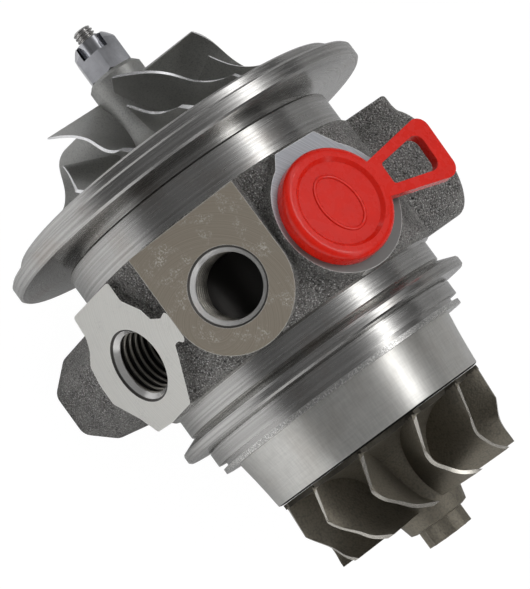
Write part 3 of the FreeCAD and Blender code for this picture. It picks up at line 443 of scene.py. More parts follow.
class SharedGroups:
    """Node groups that more than one finish uses."""

    STREAK = 6.0
    FACE_SLOPE = 1.31

    def __init__(self) -> None:
        """Build each group once."""
        self.lathe = self._lathe()
        self.grain = self._grain()
        self.stain = self._stain()
        self.edge = self._edge()

    @staticmethod
    def _open(name: str, inputs: dict[str, float], outputs: tuple[str, ...],
              ) -> tuple[Shader, bpy.types.NodeOutputs, bpy.types.NodeInputs]:
        """An empty group with number sockets.

        Args:
            name: the group's name.
            inputs: input names with their default values.
            outputs: output names.

        Returns:
            The group's tree, what it is given and where its results go.
        """
        tree = bpy.data.node_groups.new(name, "ShaderNodeTree")
        for label, value in inputs.items():
            socket = tree.interface.new_socket(label, in_out="INPUT",
                                               socket_type="NodeSocketFloat")
            socket.default_value = value
        for label in outputs:
            tree.interface.new_socket(label, in_out="OUTPUT", socket_type="NodeSocketFloat")
        tool = Shader(tree)
        return tool, tool.node("NodeGroupInput").outputs, tool.node("NodeGroupOutput").inputs

    def _edge(self) -> bpy.types.NodeTree:
        """Edges with a painted highlight, partly edge wear: a mask that is 1 where two faces meet
        within a small radius.
        """
        tool, given, result = self._open("edge_wear_and_highlight", {"Radius": 0.3, "Breaks": 0.5},
                                         ("Mask",))
        round_off = tool.node("ShaderNodeBevel", samples=6)
        tool.join(tool.times(given["Radius"], MM), round_off.inputs["Radius"])
        dot = tool.node("ShaderNodeVectorMath", operation="DOT_PRODUCT")
        tool.join(round_off.outputs[0], dot.inputs[0])
        tool.join(tool.node("ShaderNodeNewGeometry").outputs["Normal"], dot.inputs[1])
        near = tool.spread(dot.outputs["Value"], 0.998, 0.93)
        cloud = tool.spread(tool.noise(900.0, 3.0, 0.6), 0.35, 0.6)
        share = tool.math("ADD", tool.inverse(given["Breaks"]),
                          tool.times(cloud, given["Breaks"]))
        tool.join(tool.times(near, share), result["Mask"])
        return tool.tree

    def _lathe(self) -> bpy.types.NodeTree:
        """Rings left by turning: noise drawn out round the shaft into streaks of STREAK mm.

        Rings count along x + FACE_SLOPE * radius, so that flat faces have them too.
        """
        tool, given, result = self._open("lathe_rings", {"Spacing": 1.0}, ("Height", "Tone"))
        x, y, z = tool.parts()
        radius = tool.math("SQRT", tool.math("ADD", tool.times(y, y), tool.times(z, z)))
        along = tool.math("ADD", x, tool.times(radius, self.FACE_SLOPE))
        wave = tool.times(tool.math("DIVIDE", along, given["Spacing"]), PER_METRE)
        streak = tool.node("ShaderNodeCombineXYZ")
        tool.join(wave, streak.inputs[0])
        for part, socket in ((y, streak.inputs[1]), (z, streak.inputs[2])):
            tool.join(tool.times(part, PER_METRE / self.STREAK), socket)
        tool.join(tool.noise(1.0, 3.0, 0.75, streak.outputs[0]), result["Height"])
        tool.join(tool.bands(0.31, 4.0, wave), result["Tone"])
        return tool.tree

    def _grain(self) -> bpy.types.NodeTree:
        """Sand-cast skin: rounded grains under finer noise, with masks of painted glints and of
        painted shade in the pits.
        """
        tool, given, result = self._open("cast_grain", {"Size": 1.0},
                                         ("Height", "Glints", "PitShade", "Patches"))
        place = tool.sized(given["Size"])
        cells = tool.node("ShaderNodeTexVoronoi", feature="SMOOTH_F1")
        cells.inputs["Scale"].default_value = 1.0
        cells.inputs["Smoothness"].default_value = 0.6
        tool.join(place, cells.inputs["Vector"])
        height = tool.math("ADD", tool.times(tool.inverse(cells.outputs["Distance"]), 0.7),
                           tool.times(tool.noise(1.7, 4.0, 0.65, place), 0.6))
        tool.join(height, result["Height"])
        # Below: a mask of painted glints as bright specks, then a mask of painted shade where the
        # grain is low.
        tool.join(tool.spread(tool.noise(1.6, 3.0, 0.6, place), 0.53, 0.66), result["Glints"])
        tool.join(tool.spread(height, 0.62, 0.42), result["PitShade"])
        tool.join(tool.noise(0.12, 3.0, 0.5, place), result["Patches"])
        return tool.tree

    def _stain(self) -> bpy.types.NodeTree:
        """Soft-edged marks such as handling leaves: a clouded mask."""
        tool, given, result = self._open("stain", {"Size": 10.0, "Amount": 0.5}, ("Mask",))
        cloud = tool.noise(1.0, 5.0, 0.6, tool.sized(given["Size"]))
        above = tool.math("SUBTRACT", cloud, tool.inverse(given["Amount"]))
        tool.join(tool.math("MULTIPLY", above, 5.0, clamp=True), result["Mask"])
        return tool.tree


class Finishes:
    """The materials of the cartridge, made from the shared groups.

    SEAM is where along the shaft, in metres, the shield's rim ends and starts. PAD_FADE is
    where the inlet pad's colour starts and ends its change. MILL is the middle of the arcs.
    """

    SEAM = (0.05275, 0.05255)
    PAD_FADE = (0.0235, 0.0290)
    MILL = (0.0308, -0.0260, 0.0200)

    def __init__(self, groups: SharedGroups) -> None:
        """Keep the groups."""
        self.groups = groups

    @staticmethod
    def _start(name: str) -> tuple[Material, Shader, bpy.types.Node]:
        """A new material with its tree and its main shader."""
        material = bpy.data.materials.new(name)
        material.use_nodes = True
        tree = material.node_tree
        return material, Shader(tree), tree.nodes["Principled BSDF"]

    def turned(self, name: str, tint: Tint, rough: float, spacing: float,
               depth: float) -> Material:
        """Turned metal with rings round the shaft and a painted highlight along its edges, partly
        edge wear.

        Args:
            name: the material's name.
            tint: colour of the metal.
            rough: roughness between the rings.
            spacing: spacing of the rings in millimetres.
            depth: depth of the rings in millimetres.

        Returns:
            The material.
        """
        material, tool, shader = self._start(name)
        rings = tool.group(self.groups.lathe, Spacing=spacing)
        wear_and_highlight = tool.group(self.groups.edge, Radius=0.22, Breaks=0.3)
        # Lighter where the edge mask is: a painted highlight along the edges, partly edge wear.
        colour = tool.coats(tint.times(0.8, 0.79, 0.78),
                            (tool.spread(rings["Tone"], 0.3, 0.7), tint),
                            (tool.times(wear_and_highlight["Mask"], 0.6), Tint(245, 244, 242)))
        shader.inputs["Metallic"].default_value = 1.0
        tool.dress(colour, tool.spread(rings["Height"], 0.3, 0.7, rough * 0.8, rough * 1.25),
                   tool.bump(rings["Height"], depth))
        return material

    def sheet(self, name: str, tint: Tint) -> Material:
        """Drawn sheet with fine rings, painted shade on its wheel side and speckled on its rim.

        Args:
            name: the material's name.
            tint: colour of the metal.

        Returns:
            The material.
        """
        material, tool, shader = self._start(name)
        rings = tool.group(self.groups.lathe, Spacing=0.3)
        stain = tool.group(self.groups.stain, Size=12.0, Amount=0.5)
        # Painted shade on faces marked for it: the end face looking into the gap by the turbine
        # wheel.
        shade_mask = tool.attribute("painted_shade")
        seam = tool.spread(tool.parts()[0], *self.SEAM)
        brush = tool.node("ShaderNodeVectorMath", operation="MULTIPLY")
        tool.join(tool.place(), brush.inputs[0])
        brush.inputs[1].default_value = (150.0, 2600.0, 2600.0)
        strokes = tool.noise(1.0, 2.0, 0.5, brush.outputs[0])
        marks = tool.math("ADD", tool.times(rings["Height"], 0.5), tool.times(strokes, 0.5))
        crumbs = tool.spread(tool.noise(4200.0, 3.0, 0.6), 0.48, 0.6)
        rim = tool.blend(crumbs, Tint(172, 171, 168), Tint(240, 239, 236))
        colour = tool.coats(tint.times(0.93, 0.93, 0.93),
                            (tool.spread(marks, 0.38, 0.62), tint),
                            (tool.times(stain["Mask"], 0.18), Tint(150, 134, 116)),
                            (seam, rim), (shade_mask, Tint(40, 39, 37)))
        shader.inputs["Metallic"].default_value = 0.86
        tool.dress(colour, tool.between(shade_mask, 0.29, 0.8), tool.bump(marks, 0.0014))
        return material

    def casting(self) -> Material:
        """The housing: cast skin with turned, milled and bored zones told apart by attributes."""
        material, tool, shader = self._start("housing_iron")
        grain = tool.group(self.groups.grain, Size=0.46)
        rings = tool.group(self.groups.lathe, Spacing=0.17)
        wear_and_highlight = tool.group(self.groups.edge, Radius=0.3, Breaks=0.6)
        stain = tool.group(self.groups.stain, Size=13.0, Amount=0.47)
        blotch = tool.group(self.groups.stain, Size=3.6, Amount=0.5)
        turned, upper, lower, pad, bored = (tool.attribute(zone.value) for zone in Zone)

        # Cast skin: painted shade in the grain's pits and painted glints as bright specks.
        skin = tool.coats(Tint(130, 128, 124),
                          (tool.spread(grain["Patches"], 0.35, 0.65), Tint(160, 158, 154)),
                          (tool.times(grain["PitShade"], 0.85), Tint(56, 55, 53)),
                          (grain["Glints"], Tint(246, 245, 242)))
        steel = tool.coats(Tint(172, 171, 168),
                           (tool.spread(rings["Tone"], 0.3, 0.7), Tint(200, 199, 196)),
                           (tool.times(stain["Mask"], 0.35), Tint(150, 132, 116)))
        specks = tool.times(blotch["Mask"],
                            tool.spread(tool.noise(2900.0, 3.0, 0.65), 0.5, 0.6))
        swirl = self._tool_marks(tool)
        arcs = tool.spread(swirl, 0.35, 0.65)
        brown = tool.coats(Tint(146, 137, 123), (arcs, Tint(156, 148, 134)),
                           (tool.times(specks, 0.8), Tint(220, 216, 208)))
        light = tool.coats(Tint(206, 205, 199), (arcs, Tint(218, 217, 211)),
                           (tool.times(stain["Mask"], 0.5), Tint(218, 217, 211)),
                           (tool.times(specks, 0.35), Tint(170, 170, 166)))
        blue = tool.coats(Tint(152, 154, 158), (arcs, Tint(178, 180, 184)),
                          (tool.spread(tool.parts()[0], *self.PAD_FADE), Tint(112, 111, 109)))
        flats = tool.union(upper, lower, pad, turned)
        # Painted highlight along the edges, partly edge wear, stronger on machined faces, with
        # lower roughness there.
        shine = tool.times(wear_and_highlight["Mask"], tool.between(flats, 0.15, 0.65))
        colour = tool.coats(skin, (turned, steel), (upper, brown), (lower, light), (pad, blue),
                            (bored, Tint(76, 74, 71)), (shine, Tint(240, 239, 235)))

        tool.join(tool.layers(0.62, (turned, 1.0), (upper, 0.45), (lower, 0.4)),
                  shader.inputs["Metallic"])
        ring_rough = tool.spread(rings["Height"], 0.3, 0.7, 0.17, 0.3)
        rough = tool.layers(0.42, (turned, ring_rough), (upper, 0.42), (lower, 0.4),
                            (pad, 0.4), (shine, 0.25))

        milled = tool.union(upper, lower, pad)
        as_cast = tool.inverse(tool.union(milled, turned, bored))
        normal = tool.bump(tool.times(grain["Height"], as_cast), 1.1)
        normal = tool.bump(tool.times(rings["Height"], turned), 0.005, under=normal)
        normal = tool.bump(tool.times(swirl, milled), 0.006, under=normal)
        tool.dress(colour, rough, normal)
        return material

    def _tool_marks(self, tool: Shader) -> Socket:
        """Arcs left by a face mill: rings about a point beside the upper port.

        Args:
            tool: the tree that the nodes go into.

        Returns:
            The height of the marks.
        """
        offset = tool.node("ShaderNodeVectorMath", operation="DISTANCE")
        tool.join(tool.place(), offset.inputs[0])
        offset.inputs[1].default_value = self.MILL
        return tool.bands(4600.0, 3.0, offset.outputs["Value"])

    def wheel(self, name: str, dark: Tint, edge: Tint, rough: float, grain_size: float,
              metallic: float = 0.7, depth: float = 0.012) -> Material:
        """A cast skin with machined edges and painted shade on the faces marked for it.

        Args:
            name: the material's name.
            dark: colour of the cast skin.
            edge: colour of the machined edges.
            rough: roughness of the cast skin.
            grain_size: size of the cast grain in millimetres.
            metallic: share of metal.
            depth: depth of the cast grain in millimetres.

        Returns:
            The material.
        """
        material, tool, shader = self._start(name)
        grain = tool.group(self.groups.grain, Size=grain_size)
        stain = tool.group(self.groups.stain, Size=9.0, Amount=0.5)
        rings = tool.group(self.groups.lathe, Spacing=0.15)
        machined = tool.attribute("machined")
        # Painted shade on faces marked for it: the turbine disc's back and rim, and the thread
        # valleys.
        shade_mask = tool.attribute("painted_shade")
        colour = tool.coats(
            dark, (tool.spread(grain["Height"], 0.35, 0.75), dark.times(1.2, 1.2, 1.18)),
            (tool.times(stain["Mask"], 0.12), dark.times(0.7, 0.66, 0.6)),
            (shade_mask, Tint(44, 42, 39)), (machined, edge))
        shader.inputs["Metallic"].default_value = metallic
        normal = tool.bump(tool.times(grain["Height"], tool.inverse(machined)), depth)
        normal = tool.bump(tool.times(rings["Height"], machined), 0.004, under=normal)
        tool.dress(colour, tool.layers(rough, (machined, 0.22), (shade_mask, 0.8)), normal)
        return material

    def plastic(self) -> Material:
        """Glossy red plastic with a faint moulded unevenness."""
        material, tool, shader = self._start("red_plastic")
        cloud = tool.spread(tool.noise(220.0, 3.0, 0.5), 0.3, 0.7)
        shader.inputs["Specular IOR Level"].default_value = 0.22
        shader.inputs["Coat Weight"].default_value = 0.5
        shader.inputs["Coat Roughness"].default_value = 0.13
        tool.dress(tool.blend(cloud, Tint(198, 20, 2), Tint(203, 24, 4)),
                   tool.spread(tool.noise(600.0, 2.0), 0.3, 0.7, 0.22, 0.34),
                   tool.bump(tool.noise(400.0, 2.0), 0.006))
        return material

    def plain(self, name: str, tint: Tint, metallic: float, rough: float,
              size: float, depth: float = 0.01) -> Material:
        """A finish with soft clouding of its colour and roughness.

        Args:
            name: the material's name.
            tint: lighter colour of the clouding.
            metallic: 1 for metal and 0 for rubber.
            rough: middle roughness.
            size: size of the clouding in millimetres.
            depth: depth of the surface's unevenness in millimetres.

        Returns:
            The material.
        """
        material, tool, shader = self._start(name)
        cloud = tool.noise(PER_METRE / size)
        shader.inputs["Metallic"].default_value = metallic
        tool.dress(tool.blend(tool.spread(cloud, 0.3, 0.7), tint.times(0.82, 0.82, 0.82), tint),
                   tool.spread(cloud, 0.3, 0.7, rough * 0.8, rough * 1.2),
                   tool.bump(tool.noise(2.5 * PER_METRE / size, 2.0), depth))
        return material


def wear(made: Piece, material: Material, body: Body) -> None:
    """Give a piece its material and its body, and log the body it rides on.

    Args:
        made: the piece.
        material: its finish.
        body: the body that it moves with.
    """
    made.data.materials.clear()
    made.data.materials.append(material)
    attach(made, body.value)
    log.info("piece %s rides on %s", made.name, body.value)


@dataclass(frozen=True)
class Port:
    """Where a coolant port lies: its tilt, its places along and across, and its face."""

    name: str
    zone: Zone
    tilt: float
    along: float
    offset: float
    face: float

    @property
    def foot(self) -> Array:
        """The point of the port's axis nearest to the shaft's axis."""
        return np.array([self.along, 0.0, 0.0]) + self.offset * across(self.tilt)

    def reach(self, centre: Array) -> tuple[Array, Array]:
        """Heights of points along the port's axis, and their distances from it.

        Args:
            centre: the points, shape (count, 3), in millimetres.

        Returns:
            Two arrays of length count.
        """
        axis = direction(self.tilt)
        spoke = centre - self.foot
        height = spoke @ axis
        return height, np.linalg.norm(spoke - height[:, None] * axis, axis=1)


@dataclass
class PortThread:
    """The thread ridges inside a coolant port."""

    port: Port
    major: float = 7.0
    play: float = 0.02
    depth: float = 0.86
    pitch: float = 1.5
    flat: float = 0.12
    length: float = 9.9
    start: float = 0.42
    mouth: float = 0.95
    wall: float = 0.35
    sharp: float = 35.0

    def build(self, material: Material) -> None:
        """Make the threaded sleeve and dress it.

        The inner wall lies at major - depth * ridge, behind a plain cone at the mouth.

        Args:
            material: finish of the thread.
        """
        turns = np.linspace(0.0, TAU, 96, endpoint=False)
        inner = np.linspace(0.0, self.length, int(self.length / self.pitch * 12) + 1)
        top = self.major - self.play
        cone = top - self.depth * np.clip(inner / self.mouth, 0.0, 1.0)
        radius = np.where(inner < self.mouth, cone,
                          top - self.depth * ridges(inner, turns, self.pitch, self.flat))
        wall = np.full((len(turns), 2), self.major + self.wall)
        radius = np.concatenate([radius, wall], axis=1)
        depth = np.concatenate([inner, [self.length, 0.0]])
        level = self.port.face - self.start - depth
        points = (self.port.foot + level[None, :, None] * direction(self.port.tilt)
                  + (radius * np.cos(turns)[:, None])[..., None] * np.array([1.0, 0.0, 0.0])
                  + (radius * np.sin(turns)[:, None])[..., None] * across(self.port.tilt))
        made = MeshMaker.grid(self.port.name, points)
        made.data.set_sharp_from_angle(angle=math.radians(self.sharp))
        centre, _ = MeshMaker.face_centres(made)
        height, distance = self.port.reach(centre)
        mouth = height > self.port.face - self.start - self.mouth
        MeshMaker.mark(made, "machined", mouth)
        # Painted shade in the thread valleys below the mouth, so the ridges read as lines.
        valley = smoothstep(self.major - 0.95 * self.depth, self.major - 0.5 * self.depth,
                            distance)
        MeshMaker.mark(made, "painted_shade", np.where(mouth, 0.0, valley))
        wear(made, material, Body.HOUSING)


@dataclass
class Housing:
    """The bearing housing with its port threads, and the heat shield."""

    plane_play: float = 0.03
    same_way: float = 0.99
    turned_start: float = 11.65
    turned_end: float = 38.95
    tongue_reach: float = 2.0
    neck_radius: float = 30.6
    core_radius: float = 20.0
    bore_radius: float = 7.5
    bore_floor: float = 14.0
    pad_face: float = 33.0
    drain_face: float = 43.5
    lip_start: float = 60.5
    shield_from: tuple[float, ...] = (50.0, 58.0, 61.55, 63.15)
    shield_to: tuple[float, ...] = (50.0, 58.0, 63.3, 63.7)
    ports: tuple[Port, ...] = (
        Port("coolant_thread_upper", Zone.MILLED_UPPER, 42.5, 26.8, 0.0, 32.5),
        Port("coolant_thread_lower", Zone.MILLED_LOWER, 83.0, 27.4, -4.5, 32.377))

    def build(self, finishes: Finishes) -> None:
        """Dress the casting, its ports and the shield.

        Args:
            finishes: where the materials come from.
        """
        iron = finishes.casting()
        body = MeshMaker.copy_node("bearing_housing", "housing_casting", 17.0)
        self._mark_zones(body)
        wear(body, iron, Body.HOUSING)
        thread = finishes.wheel("port_thread_iron", Tint(134, 131, 125), Tint(226, 225, 222),
                                0.32, 0.3)
        for port in self.ports:
            PortThread(port).build(thread)
        sheet = finishes.sheet("shield_sheet", Tint(218, 217, 212))
        shield = MeshMaker.copy_node("heat_shield", "heat_shield_sheet", 40.0)
        MeshMaker.move(shield, self._close_gap)
        centre, normal = MeshMaker.face_centres(shield)
        # Painted shade on the shield's end face, which looks into the gap by the turbine wheel.
        MeshMaker.mark(shield, "painted_shade",
                       (centre[:, 0] > self.lip_start) & (normal[:, 0] > 0.8))
        wear(shield, sheet, Body.HOUSING)

    def _close_gap(self, points: Array) -> Array:
        """Draw the shield's end out to its running gap, in straight steps along the shaft.

        Args:
            points: places of the shield's vertices.

        Returns:
            Their new places.
        """
        drawn = np.interp(points[:, 0], self.shield_from, self.shield_to)
        return np.column_stack([drawn, points[:, 1:]])

    def _mark_zones(self, body: Piece) -> None:
        """Mark the turned, milled and bored faces by where they lie and how they face.

        The tongue of the blank boss reaches over the neck, but is left as cast.

        Args:
            body: the copy of the housing.
        """
        centre, normal = MeshMaker.face_centres(body)
        along = centre[:, 0]
        radius = np.hypot(centre[:, 1], centre[:, 2])
        tongue = ((along > self.turned_start - self.tongue_reach)
                  & (along < self.turned_start) & (radius > self.neck_radius))
        turned = ((along < self.turned_start) | (along > self.turned_end)) & ~tongue
        inside = radius < self.core_radius
        milled = {Zone.MILLED_PAD: self._on_plane(centre, normal, 0.0, self.pad_face)}
        for port in self.ports:
            milled[port.zone] = self._on_plane(centre, normal, port.tilt, port.face)
            height, distance = port.reach(centre)
            inside |= ((distance < self.bore_radius) & (height > self.bore_floor)
                       & (np.abs(normal @ direction(port.tilt)) < 0.9))
        for zone, mask in milled.items():
            turned &= ~mask
            MeshMaker.mark(body, zone.value, mask)
        drain = self._on_plane(centre, normal, 180.0, self.drain_face)
        MeshMaker.mark(body, Zone.TURNED.value, turned | drain)
        MeshMaker.mark(body, Zone.BORED.value, inside & ~turned)

    def _on_plane(self, centre: Array, normal: Array, tilt: float, face: float) -> Array:
        """Which faces lie in a milled plane.

        Args:
            centre: face centres.
            normal: face normals.
            tilt: tilt of the plane's outward direction.
            face: distance of the plane from the shaft axis.

        Returns:
            A mask of the faces.
        """
        axis = direction(tilt)
        return ((np.abs(centre @ axis - face) < self.plane_play)
                & (normal @ axis > self.same_way))


@dataclass
class Rotor:
    """The shaft with its stub's thread, both wheels and the nut."""

    stub_tip: float = -33.4
    stub_end: float = -24.2
    stub_radius: float = 2.0
    stub_root: float = 1.62
    stub_pitch: float = 0.7
    stub_chamfer: float = 1.7
    stub_skin: float = 1.5
    stub_core: float = 0.6
    thread_flat: float = 0.1
    compressor_shroud: tuple[tuple[float, float], ...] = (
        (-18.3, 19.6), (-12.8, 19.9), (-9.1, 21.2), (-6.6, 23.2), (-5.6, 25.6))
    turbine_shroud: tuple[tuple[float, float], ...] = (
        (70.7, 22.9), (72.7, 21.7), (74.9, 20.6), (77.2, 20.1), (79.5, 20.1))
    shroud_play: float = 0.5
    thread_relief: float = 0.12
    disc_back: float = 60.0
    disc_front: float = 64.52
    blade_start: float = 65.2

    def build(self, finishes: Finishes) -> None:
        """Dress the rotor.

        Args:
            finishes: where the materials come from.
        """
        bright = finishes.turned("bright_steel", Tint(214, 213, 211), 0.26, 0.3, 0.006)
        alloy = finishes.wheel("compressor_alloy", Tint(150, 150, 149), Tint(246, 246, 246),
                               0.44, 0.25, 0.85)
        superalloy = finishes.wheel("turbine_alloy", Tint(118, 113, 103), Tint(190, 186, 177),
                                    0.52, 0.4, 0.75, 0.05)
        shaft = MeshMaker.copy_node("rotor_shaft", "rotor_shaft_steel")
        MeshMaker.move(shaft, self._cut_stub)
        wear(shaft, bright, Body.ROTOR)
        self._stub_thread(bright)
        nut = MeshMaker.copy_node("lock_nut", "shaft_nut", 25.0)
        wear(nut, finishes.plain("nut_steel", Tint(222, 223, 227), 1.0, 0.17, 6.0, 0.001),
             Body.ROTOR)
        front = MeshMaker.copy_node("compressor_wheel", "compressor_wheel_blades", 35.0)
        self._mark_edges(front, self.compressor_shroud)
        wear(front, alloy, Body.ROTOR)
        back = MeshMaker.copy_node("turbine_wheel", "turbine_wheel_blades", 35.0)
        self._mark_edges(back, self.turbine_shroud)
        centre, normal = MeshMaker.face_centres(back)
        disc = centre[:, 0] < self.disc_front
        rim = disc & (np.abs(normal[:, 0]) < 0.5)
        rear = disc & (normal[:, 0] < -0.5)
        # Painted shade on the disc's back, and a lighter share of it on the disc's rim.
        MeshMaker.mark(back, "painted_shade", np.where(rear, 1.0, 0.6 * rim))
        wear(back, superalloy, Body.ROTOR)

    def _mark_edges(self, wheel: Piece,
                    shroud: tuple[tuple[float, float], ...]) -> None:
        """Mark the turned edges of a wheel's blades.

        A turned edge is part of a surface of revolution, so its normal has no part round the
        shaft, and it lies on the shroud line, which is well away from the hub.

        Args:
            wheel: the copy of the wheel.
            shroud: place along the shaft and radius of points on the shroud line.
        """
        centre, normal = MeshMaker.face_centres(wheel)
        along = centre[:, 0]
        radius = np.hypot(centre[:, 1], centre[:, 2])
        around = (normal[:, 2] * centre[:, 1] - normal[:, 1] * centre[:, 2]) / radius
        outward = (normal[:, 1] * centre[:, 1] + normal[:, 2] * centre[:, 2]) / radius
        places, radii = np.array(shroud).T
        on_shroud = radius > np.interp(along, places, radii) - self.shroud_play
        off_disc = (along < self.disc_back) | (along > self.blade_start)
        MeshMaker.mark(wheel, "machined",
                       (np.abs(around) < 0.08) & (outward > 0.2) & on_shroud & off_disc)

    def _cut_stub(self, points: Array) -> Array:
        """Cut the shaft's stub down to just under the root of its thread.

        Args:
            points: places of the shaft's vertices.

        Returns:
            Their new places.
        """
        radius = np.hypot(points[:, 1], points[:, 2])
        stub = (points[:, 0] < self.stub_end) & (radius > self.stub_skin)
        scale = np.where(stub, (self.stub_root - self.thread_relief) / np.maximum(radius, MM), 1.0)
        return points * np.column_stack([np.ones_like(scale), scale, scale])

    def _stub_thread(self, material: Material) -> None:
        """Make the thread on the stub.

        The wall lies at root + (limit - root) * ridge, where the limit is the major radius,
        less at the tip's chamfer.

        Args:
            material: finish of the thread.
        """
        turns = np.linspace(0.0, TAU, 48, endpoint=False)
        length = self.stub_end - self.stub_tip
        along = np.linspace(0.0, length, int(length / self.stub_pitch * 10) + 1)
        limit = np.minimum(self.stub_radius, self.stub_chamfer + along)
        radius = self.stub_root + (limit - self.stub_root) * ridges(
            along, turns, self.stub_pitch, self.thread_flat)
        core = np.full((len(turns), 1), self.stub_core)
        radius = np.concatenate([core, radius, core], axis=1)
        place = np.concatenate([[0.0], along, [length]]) + self.stub_tip
        points = np.stack([
            np.broadcast_to(place, radius.shape),
            radius * np.cos(turns)[:, None], radius * np.sin(turns)[:, None]], axis=-1)
        made = MeshMaker.grid("stub_thread", points)
        made.data.set_sharp_from_angle(angle=math.radians(50.0))
        wear(made, material, Body.ROTOR)


@dataclass
class InletCap:
    """The plastic cap in the oil inlet."""

    place: float = 26.4
    top: float = 36.5
    recess: float = 0.7
    rounding: float = 0.45
    oval_length: float = 5.6
    oval_width: float = 3.9
    oval_turn: float = 8.0
    bead_side: float = 0.36
    bead_height: float = 0.27

    def build(self, finishes: Finishes) -> None:
        """Dress the cap and add the plain oval ring in its sunken face.

        Args:
            finishes: where the materials come from.
        """
        red = finishes.plastic()
        cap = MeshMaker.copy_node("oil_inlet_cap", "inlet_cap_moulding", 32.0)
        self._soften(cap)
        wear(cap, red, Body.CAP)
        oval = MeshMaker.grid("inlet_cap_oval", self._bead())
        wear(oval, red, Body.CAP)

    def _soften(self, cap: Piece) -> None:
        """Join the cap's flat triangles into whole faces and round its edges.

        Args:
            cap: the copy of the cap.
        """
        with opened(cap.data) as work:
            bmesh.ops.dissolve_limit(work, angle_limit=math.radians(1.0), verts=work.verts,
                                     edges=work.edges)
        rounding = cap.modifiers.new("round_edges", "BEVEL")
        rounding.width = self.rounding * MM
        rounding.segments = 4
        rounding.limit_method = "ANGLE"
        rounding.angle_limit = math.radians(35.0)
        rounding.harden_normals = False

    def _bead(self) -> Array:
        """A low bead on the cap's sunken face along an ellipse.

        Each section is centre + bead_side cos(a) side + bead_height sin(a) up, for a full
        turn of a.

        Returns:
            A closed grid of points in millimetres.
        """
        turns = np.linspace(0.0, TAU, 96, endpoint=False)
        tilt = math.radians(self.oval_turn)
        x = self.oval_length * np.cos(turns)
        y = self.oval_width * np.sin(turns)
        line = np.stack([x * math.cos(tilt) - y * math.sin(tilt) + self.place,
                         x * math.sin(tilt) + y * math.cos(tilt),
                         np.full_like(x, self.top - self.recess)], axis=-1)
        run = np.roll(line, -1, axis=0) - np.roll(line, 1, axis=0)
        run /= np.linalg.norm(run, axis=1)[:, None]
        up = np.array([0.0, 0.0, 1.0])
        side = np.cross(run, up)
        angle = np.linspace(0.0, TAU, 12, endpoint=False)[None, :, None]
        return (line[:, None, :] + self.bead_side * np.cos(angle) * side[:, None, :]
                + self.bead_height * np.sin(angle) * up)


def dress_inner(finishes: Finishes) -> None:
    """Give the bearings, rings, thrust pieces and seals inside the housing their finishes.

    Args:
        finishes: where the materials come from.
    """
    bronze = finishes.turned("bearing_bronze", Tint(206, 160, 92), 0.28, 0.3, 0.004)
    steel = finishes.turned("inner_steel", Tint(196, 195, 193), 0.28, 0.35, 0.005)
    spring = finishes.plain("spring_steel", Tint(120, 122, 128), 1.0, 0.35, 1.0)
    iron = finishes.plain("ring_iron", Tint(104, 102, 100), 0.9, 0.4, 0.8)
    sheet = finishes.plain("pressed_sheet", Tint(178, 177, 174), 1.0, 0.36, 2.5)
    rubber = finishes.plain("seal_rubber", Tint(34, 34, 35), 0.0, 0.6, 0.8)
    chosen = {
        "seal_plate": steel, "seal_plate_o_ring": rubber, "seal_plate_snap_ring": spring,
        "oil_deflector": sheet, "thrust_bearing": bronze, "thrust_pins": spring,
        "thrust_collar": steel, "seal_sleeve": steel, "compressor_piston_ring": iron,
        "turbine_piston_ring": iron, "journal_bearing_compressor": bronze,
        "journal_bearing_turbine": bronze,
    }
    chosen.update({f"bearing_snap_ring_{count}": spring for count in range(1, 5)})
    for name, material in chosen.items():
        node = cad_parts[name]
        node.data.materials.clear()
        node.data.materials.append(material)
        log.info("node %s wears %s", name, material.name)


@dataclass(frozen=True)
class Lamp:
    """A soft lamp: its way from the object in the camera's axes, its size and its power."""

    name: str
    right: float
    up: float
    back: float
    distance: float
    wide: float
    high: float
    watts: float
    mirrored: bool


